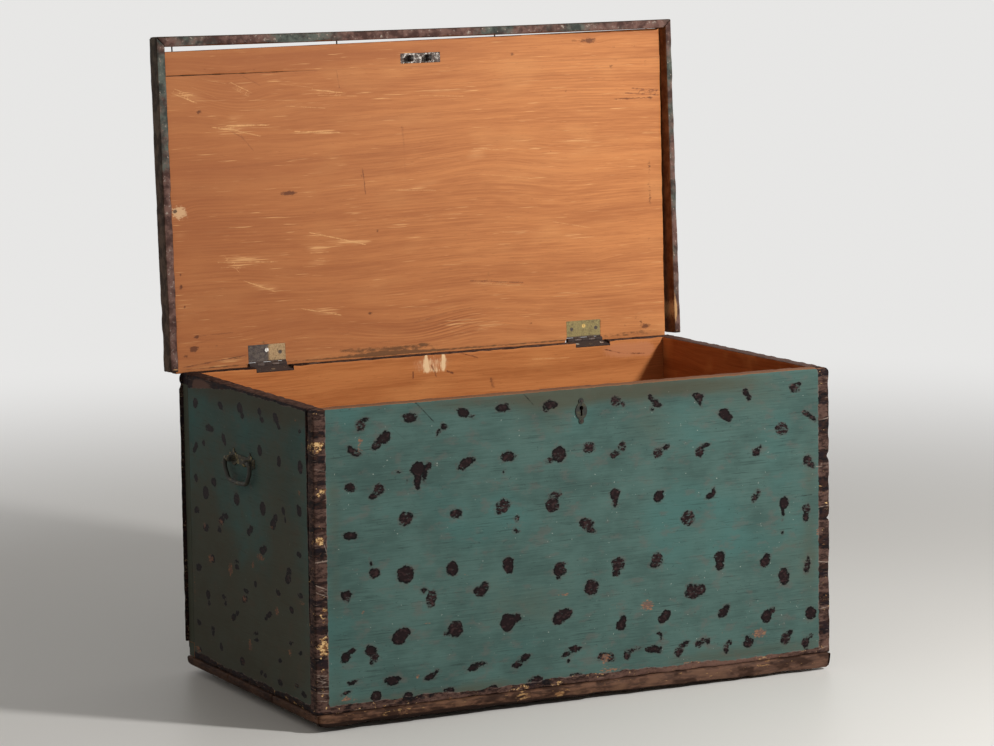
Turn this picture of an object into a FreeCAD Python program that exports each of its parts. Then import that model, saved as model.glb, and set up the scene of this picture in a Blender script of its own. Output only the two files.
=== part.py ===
import FreeCAD, Part
import os
from math import tan

from FreeCAD import Rotation, Vector

# A pine sea chest: front dovetailed to the sides, back planks nailed over their ends, nailed bottom
# on skids, framed lid on two butt hinges, link-plate chest lock, and a bail handle at each end.
#
# Frame: millimetres, +Z up, the front faces -Y. The origin is on the floor, in the middle of the
# underside of the middle skid. The lid stands open, which is the rest position.

os.makedirs("parts", exist_ok=True)

# ------------------------------------------------------------------ driving sizes: carcass
box_length = 930.0            # outside the side boards
box_depth = 530.0             # outside the front and back boards
wall_height = 480.0           # boards only, without the bottom
wall_thickness = 25.0
bottom_thickness = 17.0
bottom_overhang = 5.0         # the bottom stands out past the walls all round
bottom_corner_radius = 8.0
bottom_plank_count = 3
skid_height = 11.0
skid_width = 60.0
skid_setback = 50.0           # from the face of the wall to the end of the skid
skid_end_distance = 135.0     # from the side of the box to the centre of an outer skid
back_lower_height = 25.0      # narrow plank that makes up the height of the back
back_end_proud = 6.0          # the upper back plank runs this far past the left side
dovetail_pitch = 48.0
pin_outer_width = 18.0        # width of a pin on the face of the front or back
dovetail_slope = 1.0 / 7.0

# ------------------------------------------------------------------ driving sizes: lid
lid_open_angle = 92.8
lid_gap = 1.0                 # between the shut lid and the top edge of the walls
panel_thickness = 18.0
front_plank_width = 51.0      # lid plank in front of the seam, up to the front rim
rim_thickness = 15.0
rim_drop = 16.0               # the rims hang this far below the underside of the lid
rim_side_clearance = 7.0      # between a side board and the side rim
rim_front_clearance = 3.6     # between the front board and the ends of the front rim
rim_bow = 3.0                 # the front rim is bowed in at the middle
rim_gap_left = 9.0            # the lid planks have shrunk away from the front rim
rim_gap_middle = 3.0
rim_gap_right = 0.5
lid_rear_overhang = 4.5

# ------------------------------------------------------------------ driving sizes: hinges
hinge_length = 68.0
hinge_offset = 7.5            # hinge axis behind the face of the back
hinge_leaf_reach = 34.0       # from the hinge axis to the far edge of a leaf
hinge_leaf_thickness = 2.0
hinge_leaf_slope = 10.0       # the lower leaf is let in on a slope, in degrees
hinge_knuckle_radius = 4.5
hinge_knuckle_count = 5
hinge_knuckle_gap = 0.3
hinge_pin_radius = 2.0
hinge_pin_clearance = 0.05
hinge_pin_recess = 2.5        # the pin ends inside the barrel
left_hinge_inset = 159.0      # from the side of the box to the middle of the hinge
right_hinge_inset = 165.0
leaf_screw_spread = 24.0
leaf_screw_near = 19.7        # from the hinge axis to the outer two screws of a leaf
leaf_screw_far = 24.5         # and to the middle one

# ------------------------------------------------------------------ driving sizes: lock
lock_offset = -3.0            # lock centre from the middle of the box
lock_plate_length = 116.0
lock_plate_height = 56.0
lock_plate_thickness = 2.0
lock_case_length = 92.0
lock_case_depth = 14.0
lock_case_wall = 1.5
lock_top_drop = 3.0           # lock top below the top edge of the front board
keyhole_offset = 7.0          # keyhole from the lock centre
keyhole_depth = 32.5          # keyhole round below the top edge
keyhole_radius = 3.5
keyhole_slot_width = 3.2
keyhole_slot_drop = 13.0
key_post_radius = 1.8
bolt_travel = 9.0
bolt_finger = 3.8
bolt_post_length = 8.0
bolt_bar_overrun = 4.0        # the bar runs this far past the posts and the last eye
bolt_draw_gap = 1.5           # between a drawn-back finger and its eye
bolt_bar_height = 9.5
bolt_bar_thickness = 8.2
bolt_clearance = 0.3
eye_spacing = 34.0
eye_thickness = 5.0
eye_width = 11.0
eye_hole_radius = 3.0
eye_reach = 9.0               # from the underside of the lid to the centre of the eye
eye_slot_clearance = 0.6
link_plate_length = 75.0
link_plate_width = 17.0
link_plate_thickness = 2.5
link_plate_shift = 4.5        # the link plate is not quite centred on the lock
link_recess = 2.5             # the link plate is let in flush with the underside of the lid

# ------------------------------------------------------------------ driving sizes: escutcheon
escutcheon_thickness = 1.5
escutcheon_width = 21.0
escutcheon_body_height = 30.0
escutcheon_height = 41.5
escutcheon_lobe_radius = 4.6
escutcheon_pin_radius = 0.8
escutcheon_pin_head_radius = 1.6
escutcheon_pin_length = 12.0

# ------------------------------------------------------------------ driving sizes: handles
handle_drop = 115.0           # bail axis below the top edge of the side board
handle_shift = 13.0           # handle centre behind the middle of the side board
handle_post_spacing = 66.0
handle_plate_thickness = 2.0
handle_plate_height = 15.0
handle_rose_radius = 12.0
handle_finial_height = 17.0
handle_post_radius = 5.5
handle_standoff = 8.0         # bail axis in front of the backplate
bail_radius = 3.5
bail_pin_radius = 2.5
bail_pin_clearance = 0.05
bail_half_width = 50.0
bail_height = 36.0            # from the bail axis to the middle of the grip
bail_shoulder_bend = 5.0      # bend radii of the rod, from the post down to the grip
bail_side_bend = 13.0
bail_corner_bend = 14.0
bail_grip_bend = 60.0
bail_side_drop = 15.0         # from the bail axis to the side bend
bail_corner_inset = 14.0      # the lower corners stand this far in from the sides
bail_corner_rise = 2.5        # and this far above the middle of the grip
handle_bolt_radius = 3.0
handle_nut_size = 13.0
handle_nut_thickness = 4.0
handle_bolt_overrun = 2.0     # the bolt stands this far past its nut

# ------------------------------------------------------------------ driving sizes: fasteners
screw_head_radius = 3.4
screw_shank_radius = 1.6
screw_slot_width = 0.9
screw_slot_depth = 0.7
nail_head_radius = 3.0
nail_head_thickness = 0.8
nail_shank_radius = 1.2
nail_set = 0.6                # nail heads stand this far below the surface
wood_over_screw = 4.0         # wood left past the tip of a screw
nail_length_ratio = 2.6       # nail length over the thickness it goes through
bottom_nail_pitch = 150.0
bottom_nail_margin = 40.0      # from a corner of the box to the first nail
back_nails = 4                 # in each end of the upper back plank
back_nail_margin = 45.0
front_rim_nails = 4
rim_nail_margin = 22.0
side_rim_nails = 3
skid_nails = 4

# ------------------------------------------------------------------ derived places
half_length = box_length / 2
half_depth = box_depth / 2
wall_bottom = skid_height + bottom_thickness
wall_top = wall_bottom + wall_height
inner_half_length = half_length - wall_thickness
inner_half_depth = half_depth - wall_thickness

axis_y = half_depth + hinge_offset
axis_z = wall_top + lid_gap / 2
lid_under = wall_top + lid_gap                     # underside of the shut lid
lid_top = lid_under + panel_thickness
lid_rear = half_depth + lid_rear_overhang
panel_half_length = half_length + rim_side_clearance
lid_half_length = panel_half_length + rim_thickness
rim_inner_y = -half_depth - rim_front_clearance
rim_outer_y = rim_inner_y - rim_thickness
lid_seam_y = rim_inner_y + front_plank_width
hinge_centres = {
    "left": -half_length + left_hinge_inset,
    "right": half_length - right_hinge_inset,
}

lock_depth = lock_plate_thickness + lock_case_depth
lock_top = wall_top - lock_top_drop
lock_back_y = -inner_half_depth                    # inner face of the front board
lock_case_y = lock_back_y + lock_plate_thickness
eye_y = lock_back_y + lock_depth / 2
eye_centres = [lock_offset - eye_spacing / 2, lock_offset + eye_spacing / 2]
eye_z = lid_under - eye_reach
keyhole_x = lock_offset + keyhole_offset
keyhole_z = wall_top - keyhole_depth
handle_z = wall_top - handle_drop


# ------------------------------------------------------------------ small helpers
def block(x0, x1, y0, y1, z0, z1):
    """Box between two corners."""
    return Part.makeBox(x1 - x0, y1 - y0, z1 - z0, Vector(x0, y0, z0))


def rod(radius, length, start, direction):
    return Part.makeCylinder(radius, length, start, direction)


def prism(points, direction):
    """Closed outline of straight lines, pushed along a direction."""
    outline = Part.makePolygon(points + [points[0]])
    return Part.Face(outline).extrude(direction)


def fuse(shapes):
    result = shapes[0]
    for shape in shapes[1:]:
        result = result.fuse(shape)
    return result.removeSplitter()


def cut_all(shape, tools):
    for tool in tools:
        shape = shape.cut(tool)
    return shape


def turned(shape, centre, axis, angle):
    result = shape.copy()
    result.rotate(centre, axis, angle)
    return result


def opened(shape):
    """Turn a piece of the shut lid about the hinge axis to the open lid."""
    return turned(shape, Vector(0, axis_y, axis_z), Vector(1, 0, 0), -lid_open_angle)


def sloped(shape):
    """Turn a level lower hinge leaf down to its slope."""
    return turned(shape, Vector(0, axis_y, axis_z), Vector(1, 0, 0), hinge_leaf_slope)


def aimed(shape, place, direction):
    """Move a piece drawn along +Z from the origin to a place and aim it along a direction."""
    result = shape.copy()
    result.Placement = FreeCAD.Placement(place, Rotation(Vector(0, 0, 1), direction))
    return result


def save(name, shape):
    """Write one node: a solid, or a group of separate solids."""
    shapes = shape if isinstance(shape, list) else [shape]
    solids = [solid for item in shapes for solid in item.Solids]
    result = solids[0] if len(solids) == 1 else Part.makeCompound(solids)
    result.exportStep("parts/" + name + ".step")
    print(name, len(solids), "solid(s)", round(sum(solid.Volume for solid in solids)), "mm3")


# ------------------------------------------------------------------ fasteners
def screw_body(length):
    """Countersunk wood screw, head face at z = 0, pointing along +Z. No slot."""
    cone_height = screw_head_radius - screw_shank_radius
    tip = 2 * screw_shank_radius
    head = Part.makeCone(screw_head_radius, screw_shank_radius, cone_height)
    shank = rod(screw_shank_radius, length - cone_height - tip, Vector(0, 0, cone_height), Vector(0, 0, 1))
    point = Part.makeCone(screw_shank_radius, 0.3, tip, Vector(0, 0, length - tip), Vector(0, 0, 1))
    return fuse([head, shank, point])


def screw_slot(angle):
    half = screw_slot_width / 2
    slot = block(-screw_head_radius, screw_head_radius, -half, half, -1, screw_slot_depth)
    return turned(slot, Vector(0, 0, 0), Vector(0, 0, 1), angle)


def screws(places, direction, length):
    """Screws at places, and the holes that take them."""
    holes = [aimed(screw_body(length), place, direction) for place in places]
    made = []
    for index, place in enumerate(places):
        made.append(aimed(screw_body(length).cut(screw_slot(25 + 50 * index)), place, direction))
    return made, holes


def nails(places, direction, length):
    """Nails set a little below the surface, and the holes that take them."""
    head = rod(nail_head_radius, nail_head_thickness, Vector(0, 0, nail_set), Vector(0, 0, 1))
    shank_start = nail_set + nail_head_thickness
    tip = 3 * nail_shank_radius
    shank = rod(nail_shank_radius, length - shank_start - tip, Vector(0, 0, shank_start), Vector(0, 0, 1))
    point = Part.makeCone(nail_shank_radius, 0.3, tip, Vector(0, 0, length - tip), Vector(0, 0, 1))
    nail = fuse([head, shank, point])
    recess = rod(nail_head_radius, nail_set + 1, Vector(0, 0, -1), Vector(0, 0, 1))
    hole = fuse([recess, nail])
    made = [aimed(nail, place, direction) for place in places]
    holes = [aimed(hole, place, direction) for place in places]
    return made, holes


def spread(low, high, count):
    """Evenly spaced values from low to high."""
    return [low + (high - low) * index / (count - 1) for index in range(count)]


# ------------------------------------------------------------------ carcass
dovetail_count = max(2, round(wall_height / dovetail_pitch))
real_pitch = wall_height / dovetail_count
pin_flare = wall_thickness * dovetail_slope


def tails(side):
    """The tail-shaped spaces between the pins at a front corner: side is -1 or +1 along X."""
    x_inner = side * inner_half_length
    result = []
    for index in range(dovetail_count):
        low = wall_bottom + index * real_pitch + pin_outer_width / 2
        high = wall_bottom + (index + 1) * real_pitch - pin_outer_width / 2
        outline = [
            Vector(x_inner, -half_depth, low),
            Vector(x_inner, -half_depth, high),
            Vector(x_inner, -inner_half_depth, high - pin_flare),
            Vector(x_inner, -inner_half_depth, low + pin_flare),
        ]
        result.append(prism(outline, Vector(side * wall_thickness, 0, 0)))
    return result


def side_board(side):
    """Side board: runs from the front board to the back planks, plus the tails."""
    x0, x1 = sorted([side * half_length, side * inner_half_length])
    board = block(x0, x1, -inner_half_depth, inner_half_depth, wall_bottom, wall_top)
    return fuse([board] + tails(side))


back_seam = wall_bottom + back_lower_height
front_board = cut_all(block(-half_length, half_length, -half_depth, -inner_half_depth,
                            wall_bottom, wall_top), tails(-1) + tails(1))
side_boards = {"left": side_board(-1), "right": side_board(1)}
back_lower_board = block(-half_length, half_length, inner_half_depth, half_depth, wall_bottom, back_seam)
back_upper_board = block(-half_length - back_end_proud, half_length, inner_half_depth, half_depth,
                         back_seam, wall_top)

# bottom: planks laid along the box, nailed up into the walls
bottom_half_length = half_length + bottom_overhang
bottom_half_depth = half_depth + bottom_overhang
plank_edges = spread(-bottom_half_depth, bottom_half_depth, bottom_plank_count + 1)
bottom_planks = []
for index in range(bottom_plank_count):
    plank = block(-bottom_half_length, bottom_half_length, plank_edges[index], plank_edges[index + 1],
                  skid_height, wall_bottom)
    outer = [edge for edge in plank.Edges
             if abs(edge.BoundBox.ZLength - bottom_thickness) < 0.01
             and abs(abs(edge.CenterOfMass.y) - bottom_half_depth) < 0.01]
    if outer:
        plank = plank.makeFillet(bottom_corner_radius, outer)
    bottom_planks.append(plank)

wall_middle_x = half_length - wall_thickness / 2
wall_middle_y = half_depth - wall_thickness / 2
back_nail_places = [Vector(side * wall_middle_x, half_depth, z)
                    for side in (-1, 1)
                    for z in [wall_bottom + back_lower_height / 2]
                    + spread(back_seam + back_nail_margin, wall_top - back_nail_margin, back_nails)]
back_nail_solids, back_nail_holes = nails(back_nail_places, Vector(0, -1, 0),
                                          wall_thickness * nail_length_ratio)
nails_along_x = max(2, round(box_length / bottom_nail_pitch))
nails_along_y = max(2, round(box_depth / bottom_nail_pitch))
bottom_nail_places = [Vector(x, side * wall_middle_y, skid_height)
                      for side in (-1, 1)
                      for x in spread(bottom_nail_margin - half_length, half_length - bottom_nail_margin,
                                  nails_along_x)]
bottom_nail_places += [Vector(side * wall_middle_x, y, skid_height)
                       for side in (-1, 1)
                       for y in spread(-wall_middle_y, wall_middle_y, nails_along_y)[1:-1]]
bottom_nails, bottom_nail_holes = nails(bottom_nail_places, Vector(0, 0, 1),
                                        bottom_thickness * nail_length_ratio)

# skids: three runners across the underside
outer_skid_x = half_length - skid_end_distance
skid_centres = {"left": -outer_skid_x, "middle": 0.0, "right": outer_skid_x}
skid_half_depth = half_depth - skid_setback
skid_nail_places = [Vector(x, y, 0)
                    for x in skid_centres.values()
                    for y in spread(-skid_half_depth + skid_width / 2,
                                    skid_half_depth - skid_width / 2, skid_nails)]
skid_nail_length = skid_height + bottom_thickness - wood_over_screw
skid_nail_solids, skid_nail_holes = nails(skid_nail_places, Vector(0, 0, 1), skid_nail_length)
skids = {name: cut_all(block(x - skid_width / 2, x + skid_width / 2, -skid_half_depth, skid_half_depth,
                             0, skid_height), skid_nail_holes)
         for name, x in skid_centres.items()}


# ------------------------------------------------------------------ lid, drawn shut
def bowed_plank(x0, x1, back, front):
    """Upright plate between two edges, each given by its Y at the left end, middle and right end."""
    x_middle = (x0 + x1) / 2

    def edge(values, reverse):
        left = Vector(x0, values[0], 0)
        middle = Vector(x_middle, values[1], 0)
        right = Vector(x1, values[2], 0)
        if abs(values[1] - (values[0] + values[2]) / 2) < 1e-6:
            line = [left, right]
            return Part.makeLine(*(line[::-1] if reverse else line))
        arc = [left, middle, right]
        return Part.Arc(*(arc[::-1] if reverse else arc)).toShape()

    left_side = Part.makeLine(Vector(x0, front[0], 0), Vector(x0, back[0], 0))
    right_side = Part.makeLine(Vector(x1, back[2], 0), Vector(x1, front[2], 0))
    outline = Part.Wire([edge(back, False), right_side, edge(front, True), left_side])
    plate = Part.Face(outline).extrude(Vector(0, 0, panel_thickness))
    plate.translate(Vector(0, 0, lid_under))
    return plate


front_edge = [rim_inner_y + rim_gap_left, rim_inner_y + rim_bow + rim_gap_middle, rim_inner_y + rim_gap_right]
lid_main_plank = block(-panel_half_length, panel_half_length, lid_seam_y, lid_rear, lid_under, lid_top)
lid_front_plank = bowed_plank(-panel_half_length, panel_half_length, [lid_seam_y] * 3, front_edge)


def side_rim(side):
    """Side rim with a mitred front end."""
    inner = side * panel_half_length
    outer = side * lid_half_length
    base = lid_under - rim_drop
    outline = [Vector(inner, lid_rear, base), Vector(outer, lid_rear, base),
               Vector(outer, rim_outer_y, base), Vector(inner, rim_inner_y, base)]
    return prism(outline, Vector(0, 0, rim_drop + panel_thickness))


def front_rim():
    """Front rim: bowed in at the middle, mitred at both ends."""
    base = lid_under - rim_drop
    outer_left = Vector(-lid_half_length, rim_outer_y, base)
    outer_right = Vector(lid_half_length, rim_outer_y, base)
    inner_left = Vector(-panel_half_length, rim_inner_y, base)
    inner_right = Vector(panel_half_length, rim_inner_y, base)
    outer = Part.Arc(outer_left, Vector(0, rim_outer_y + rim_bow, base), outer_right).toShape()
    inner = Part.Arc(inner_right, Vector(0, rim_inner_y + rim_bow, base), inner_left).toShape()
    outline = Part.Wire([outer, Part.makeLine(outer_right, inner_right), inner,
                         Part.makeLine(inner_left, outer_left)])
    return Part.Face(outline).extrude(Vector(0, 0, rim_drop + panel_thickness))


rims = {"left": side_rim(-1), "right": side_rim(1)}
lid_front_rim = front_rim()

panel_middle_z = lid_under + panel_thickness / 2
rim_nail_length = rim_thickness * nail_length_ratio
front_nail_x = spread(-panel_half_length + rim_nail_margin, panel_half_length - rim_nail_margin,
                      front_rim_nails)


def bow_at(x):
    """How far the front rim is bowed in at x, close to its arc."""
    return rim_bow * (1 - (x / lid_half_length) ** 2)


front_nails, front_nail_holes = nails(
    [Vector(x, rim_outer_y + bow_at(x), panel_middle_z) for x in front_nail_x],
    Vector(0, 1, 0), rim_nail_length)
side_nails = []
side_nail_holes = []
side_nail_y = spread(lid_rear - rim_nail_margin, rim_inner_y + front_plank_width + rim_nail_margin,
                     side_rim_nails)
for side in (-1, 1):
    made, holes = nails([Vector(side * lid_half_length, y, panel_middle_z) for y in side_nail_y],
                        Vector(-side, 0, 0), rim_nail_length)
    side_nails += made
    side_nail_holes += holes
lid_nails = front_nails + side_nails
lid_nail_holes = front_nail_holes + side_nail_holes


# ------------------------------------------------------------------ hinges
leaf_start = hinge_knuckle_radius + 0.4            # plates stay clear of the other leaf's knuckles
knuckle_length = hinge_length / hinge_knuckle_count
leaf_screw_length = panel_thickness - wood_over_screw


def hinge_leaf(centre, plate_low, plate_high, first_knuckle):
    """One leaf lying level in front of the axis, with every second knuckle of the barrel."""
    x0 = centre - hinge_length / 2
    x1 = centre + hinge_length / 2
    pieces = [block(x0, x1, axis_y - hinge_leaf_reach, axis_y - leaf_start, plate_low, plate_high)]
    for index in range(first_knuckle, hinge_knuckle_count, 2):
        start = x0 + index * knuckle_length + (hinge_knuckle_gap / 2 if index else 0)
        stop = x0 + (index + 1) * knuckle_length
        stop -= hinge_knuckle_gap / 2 if index < hinge_knuckle_count - 1 else 0
        pieces.append(block(start, stop, axis_y - leaf_start - 1, axis_y, plate_low, plate_high))
        pieces.append(rod(hinge_knuckle_radius, stop - start, Vector(start, axis_y, axis_z),
                          Vector(1, 0, 0)))
    bore = rod(hinge_pin_radius + hinge_pin_clearance, hinge_length + 2,
               Vector(x0 - 1, axis_y, axis_z), Vector(1, 0, 0))
    return fuse(pieces).cut(bore)


def leaf_screw_places(centre, z):
    """Three screws in a zigzag across the leaf."""
    near = axis_y - leaf_screw_near
    far = axis_y - leaf_screw_far
    return [Vector(centre - leaf_screw_spread, near, z), Vector(centre, far, z),
            Vector(centre + leaf_screw_spread, near, z)]


hinges = {}
for name, centre in hinge_centres.items():
    x0 = centre - hinge_length / 2
    x1 = centre + hinge_length / 2
    # lower leaf, let into the top edge of the back on a slope
    lower = hinge_leaf(centre, wall_top - hinge_leaf_thickness, wall_top, 0)
    made, holes = screws(leaf_screw_places(centre, wall_top), Vector(0, 0, -1), leaf_screw_length)
    lower_screws = [sloped(screw) for screw in made]
    lower = sloped(cut_all(lower, holes))
    seat = sloped(block(x0, x1, axis_y - 3 * hinge_leaf_reach, axis_y + hinge_leaf_reach,
                        wall_top - hinge_leaf_thickness, wall_top + hinge_leaf_reach))
    back_upper_board = cut_all(back_upper_board, [seat] + [sloped(hole) for hole in holes])
    # upper leaf, let in flush with the underside of the lid
    upper = hinge_leaf(centre, lid_under, lid_under + hinge_leaf_thickness, 1)
    upper_screws, holes = screws(leaf_screw_places(centre, lid_under), Vector(0, 0, 1), leaf_screw_length)
    upper = cut_all(upper, holes)
    seat = block(x0, x1, axis_y - hinge_leaf_reach, axis_y, lid_under - 1,
                 lid_under + hinge_leaf_thickness)
    barrel_room = rod(leaf_start, hinge_length + 2, Vector(x0 - 1, axis_y, axis_z), Vector(1, 0, 0))
    lid_main_plank = cut_all(lid_main_plank, [seat, barrel_room] + holes)
    pin = rod(hinge_pin_radius, hinge_length - 2 * hinge_pin_recess,
              Vector(x0 + hinge_pin_recess, axis_y, axis_z), Vector(1, 0, 0))
    hinges[name] = {"lower_leaf": lower, "lower_screws": lower_screws, "pin": pin,
                    "upper_leaf": upper, "upper_screws": upper_screws}


# ------------------------------------------------------------------ lock, inside the front board
def keyhole(y0, y1):
    """Round hole with a slot below it, through everything from y0 to y1."""
    half = keyhole_slot_width / 2
    hole = rod(keyhole_radius, y1 - y0, Vector(keyhole_x, y0, keyhole_z), Vector(0, 1, 0))
    slot = block(keyhole_x - half, keyhole_x + half, y0, y1, keyhole_z - keyhole_slot_drop, keyhole_z)
    return hole.fuse(slot)


plate_half = lock_plate_length / 2
lock_low = lock_top - lock_plate_height
lock_plate = block(lock_offset - plate_half, lock_offset + plate_half, lock_back_y, lock_case_y,
                   lock_low, lock_top)
lock_screw_x = (lock_plate_length + lock_case_length) / 4
lock_screw_inset = (lock_plate_length - lock_case_length) / 4
lock_screw_places = [Vector(lock_offset + side * lock_screw_x, lock_case_y, z)
                     for side in (-1, 1)
                     for z in (lock_low + 2 * lock_screw_inset, lock_top - 2 * lock_screw_inset)]
lock_screws, lock_screw_holes = screws(lock_screw_places, Vector(0, -1, 0),
                                       wall_thickness + lock_plate_thickness - 2 * wood_over_screw)
lock_plate = cut_all(lock_plate, lock_screw_holes + [keyhole(lock_back_y - 1, lock_case_y + 1)])

case_half = lock_case_length / 2
case_y1 = lock_case_y + lock_case_depth
lock_case = block(lock_offset - case_half, lock_offset + case_half, lock_case_y, case_y1,
                  lock_low, lock_top)
case_room = block(lock_offset - case_half + lock_case_wall, lock_offset + case_half - lock_case_wall,
                  lock_case_y - 1, case_y1 - lock_case_wall, lock_low + lock_case_wall,
                  lock_top - lock_case_wall)
eye_slots = [block(x - eye_thickness / 2 - eye_slot_clearance, x + eye_thickness / 2 + eye_slot_clearance,
                   eye_y - eye_width / 2 - eye_slot_clearance, eye_y + eye_width / 2 + eye_slot_clearance,
                   lock_top - 2 * lock_case_wall, lock_top + 1)
             for x in eye_centres]
lock_case = cut_all(lock_case, [case_room] + eye_slots)

post_y1 = case_y1 - lock_case_wall
key_post = rod(key_post_radius, post_y1 - lock_back_y, Vector(keyhole_x, lock_back_y, keyhole_z),
               Vector(0, 1, 0))

# bolt: a bar along the lock plate with two upright posts, each with a finger for one eye
bar_y0 = lock_case_y + bolt_clearance
bar_y1 = bar_y0 + bolt_bar_thickness
bar_z0 = keyhole_z + key_post_radius + 3 * bolt_clearance
bar_z1 = bar_z0 + bolt_bar_height
finger_length = bolt_travel - 1
finger_tips = [x - eye_thickness / 2 - bolt_draw_gap for x in eye_centres]
bolt_pieces = [block(finger_tips[0] - finger_length - bolt_post_length - bolt_bar_overrun,
                     finger_tips[1] + bolt_draw_gap + eye_thickness + bolt_bar_overrun,
                     bar_y0, bar_y1, bar_z0, bar_z1)]
for tip in finger_tips:
    post = block(tip - finger_length - bolt_post_length, tip - finger_length,
                 eye_y - bolt_finger / 2, eye_y + bolt_finger / 2, bar_z1 - 1, eye_z + bolt_finger / 2)
    finger = block(tip - finger_length - 1, tip, eye_y - bolt_finger / 2, eye_y + bolt_finger / 2,
                   eye_z - bolt_finger / 2, eye_z + bolt_finger / 2)
    bolt_pieces += [post, finger]
talon = block(keyhole_x - bolt_travel / 2, keyhole_x + bolt_travel / 2, bar_y0 - 1, bar_y1 + 1,
              bar_z0 - 1, bar_z0 + bolt_bar_height / 2)
lock_bolt = fuse(bolt_pieces).cut(talon)

front_board = cut_all(front_board, lock_screw_holes + [keyhole(-half_depth - 1, lock_back_y + 1)])

# link plate let into the underside of the lid, with two eyes that drop into the lock
link_centre = lock_offset + link_plate_shift
link_low = lid_under + link_recess - link_plate_thickness
link_x0 = link_centre - link_plate_length / 2
link_x1 = link_centre + link_plate_length / 2
link_y0 = eye_y - link_plate_width / 2
link_y1 = eye_y + link_plate_width / 2
link_plate = block(link_x0, link_x1, link_y0, link_y1, link_low, lid_under + link_recess)
link_seat = block(link_x0, link_x1, link_y0, link_y1, lid_under - 1, lid_under + link_recess)
link_screw_places = [Vector(x, eye_y, link_low)
                     for x in (link_x0 + link_plate_width / 3, lock_offset,
                               link_x1 - link_plate_width / 3)]
link_screws, link_screw_holes = screws(link_screw_places, Vector(0, 0, 1), leaf_screw_length)
link_plate = cut_all(link_plate, link_screw_holes)
link_eyes = []
for x in eye_centres:
    x0 = x - eye_thickness / 2
    arch = rod(eye_width / 2, eye_thickness, Vector(x0, eye_y, eye_z), Vector(1, 0, 0))
    root = block(x0, x0 + eye_thickness, eye_y - eye_width / 2, eye_y + eye_width / 2, eye_z, link_low)
    hole = rod(eye_hole_radius, eye_thickness + 2, Vector(x0 - 1, eye_y, eye_z), Vector(1, 0, 0))
    link_eyes.append(fuse([arch, root]).cut(hole))

# ------------------------------------------------------------------ escutcheon
escutcheon_y = -half_depth - escutcheon_thickness
escutcheon_z = keyhole_z - keyhole_slot_drop / 2 + keyhole_radius / 2
body_half = escutcheon_body_height / 2
waist = escutcheon_width / 2
body_arcs = []
for side in (1, -1):
    body_arcs.append(Part.Arc(Vector(keyhole_x, escutcheon_y, escutcheon_z + side * body_half),
                              Vector(keyhole_x + side * waist, escutcheon_y, escutcheon_z),
                              Vector(keyhole_x, escutcheon_y, escutcheon_z - side * body_half)).toShape())
escutcheon_body = Part.Face(Part.Wire(body_arcs)).extrude(Vector(0, escutcheon_thickness, 0))
lobe_z = escutcheon_height / 2 - escutcheon_lobe_radius
lobes = [rod(escutcheon_lobe_radius, escutcheon_thickness,
             Vector(keyhole_x, escutcheon_y, escutcheon_z + side * lobe_z), Vector(0, 1, 0))
         for side in (-1, 1)]
escutcheon = fuse([escutcheon_body] + lobes).cut(keyhole(escutcheon_y - 1, -half_depth + 1))
pin_head = rod(escutcheon_pin_head_radius, escutcheon_pin_radius, Vector(0, 0, 0), Vector(0, 0, -1))
pin_shank = rod(escutcheon_pin_radius, escutcheon_pin_length, Vector(0, 0, 0), Vector(0, 0, 1))
escutcheon_pin_places = [Vector(keyhole_x, escutcheon_y, escutcheon_z + side * lobe_z) for side in (-1, 1)]
escutcheon_pins = [aimed(fuse([pin_head, pin_shank]), place, Vector(0, 1, 0))
                   for place in escutcheon_pin_places]
escutcheon_pin_holes = [aimed(pin_shank, place, Vector(0, 1, 0)) for place in escutcheon_pin_places]
escutcheon = cut_all(escutcheon, escutcheon_pin_holes)
front_board = cut_all(front_board, escutcheon_pin_holes)


# ------------------------------------------------------------------ handles
post_half = handle_post_spacing / 2
bail_axis_x = half_length + handle_plate_thickness + handle_standoff


def bail_path():
    """Half of the bail, from the post down to the middle of the grip, as (y, z) corners."""
    return [(post_half + handle_post_radius + 2, 0.0), (bail_half_width - 1, 0.0),
            (bail_half_width + 1, -bail_side_drop),
            (bail_half_width - bail_corner_inset, bail_corner_rise - bail_height),
            (0.0, -bail_height)]


def rounded_path(corners, radii, x):
    """Wire through the corners in the plane of the handle, each inner corner rounded."""
    points = [Vector(x, y, z) for y, z in corners]
    edges = []
    start = points[0]
    for index, radius in enumerate(radii):
        corner = points[index + 1]
        before = (points[index] - corner).normalize()
        after = (points[index + 2] - corner).normalize()
        angle = before.getAngle(after)
        trim = radius / tan(angle / 2)
        first = corner + before * trim
        last = corner + after * trim
        inward = (before + after).normalize()
        middle = corner + inward * ((trim ** 2 + radius ** 2) ** 0.5 - radius)
        edges.append(Part.makeLine(start, first))
        edges.append(Part.Arc(first, middle, last).toShape())
        start = last
    edges.append(Part.makeLine(start, points[-1]))
    return Part.Wire(edges)


def bail(x):
    """Bail of round rod: both halves and the two pins that turn in the posts."""
    half = bail_path()
    corners = half + [(-y, z) for y, z in half[-2::-1]]
    bends = [bail_shoulder_bend, bail_side_bend, bail_corner_bend]
    radii = bends + [bail_grip_bend] + bends[::-1]
    path = rounded_path(corners, radii, x)
    section = Part.Wire([Part.makeCircle(bail_radius, Vector(x, corners[0][0], 0), Vector(0, 1, 0))])
    grip = path.makePipeShell([section], True, False)
    pins = []
    pin_start = corners[0][0] + 0.5
    pin_end = post_half - handle_post_radius + 2
    for side in (-1, 1):
        pins.append(rod(bail_pin_radius, pin_start - pin_end, Vector(x, side * pin_start, 0),
                        Vector(0, -side, 0)))
    return fuse([grip] + pins)


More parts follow.
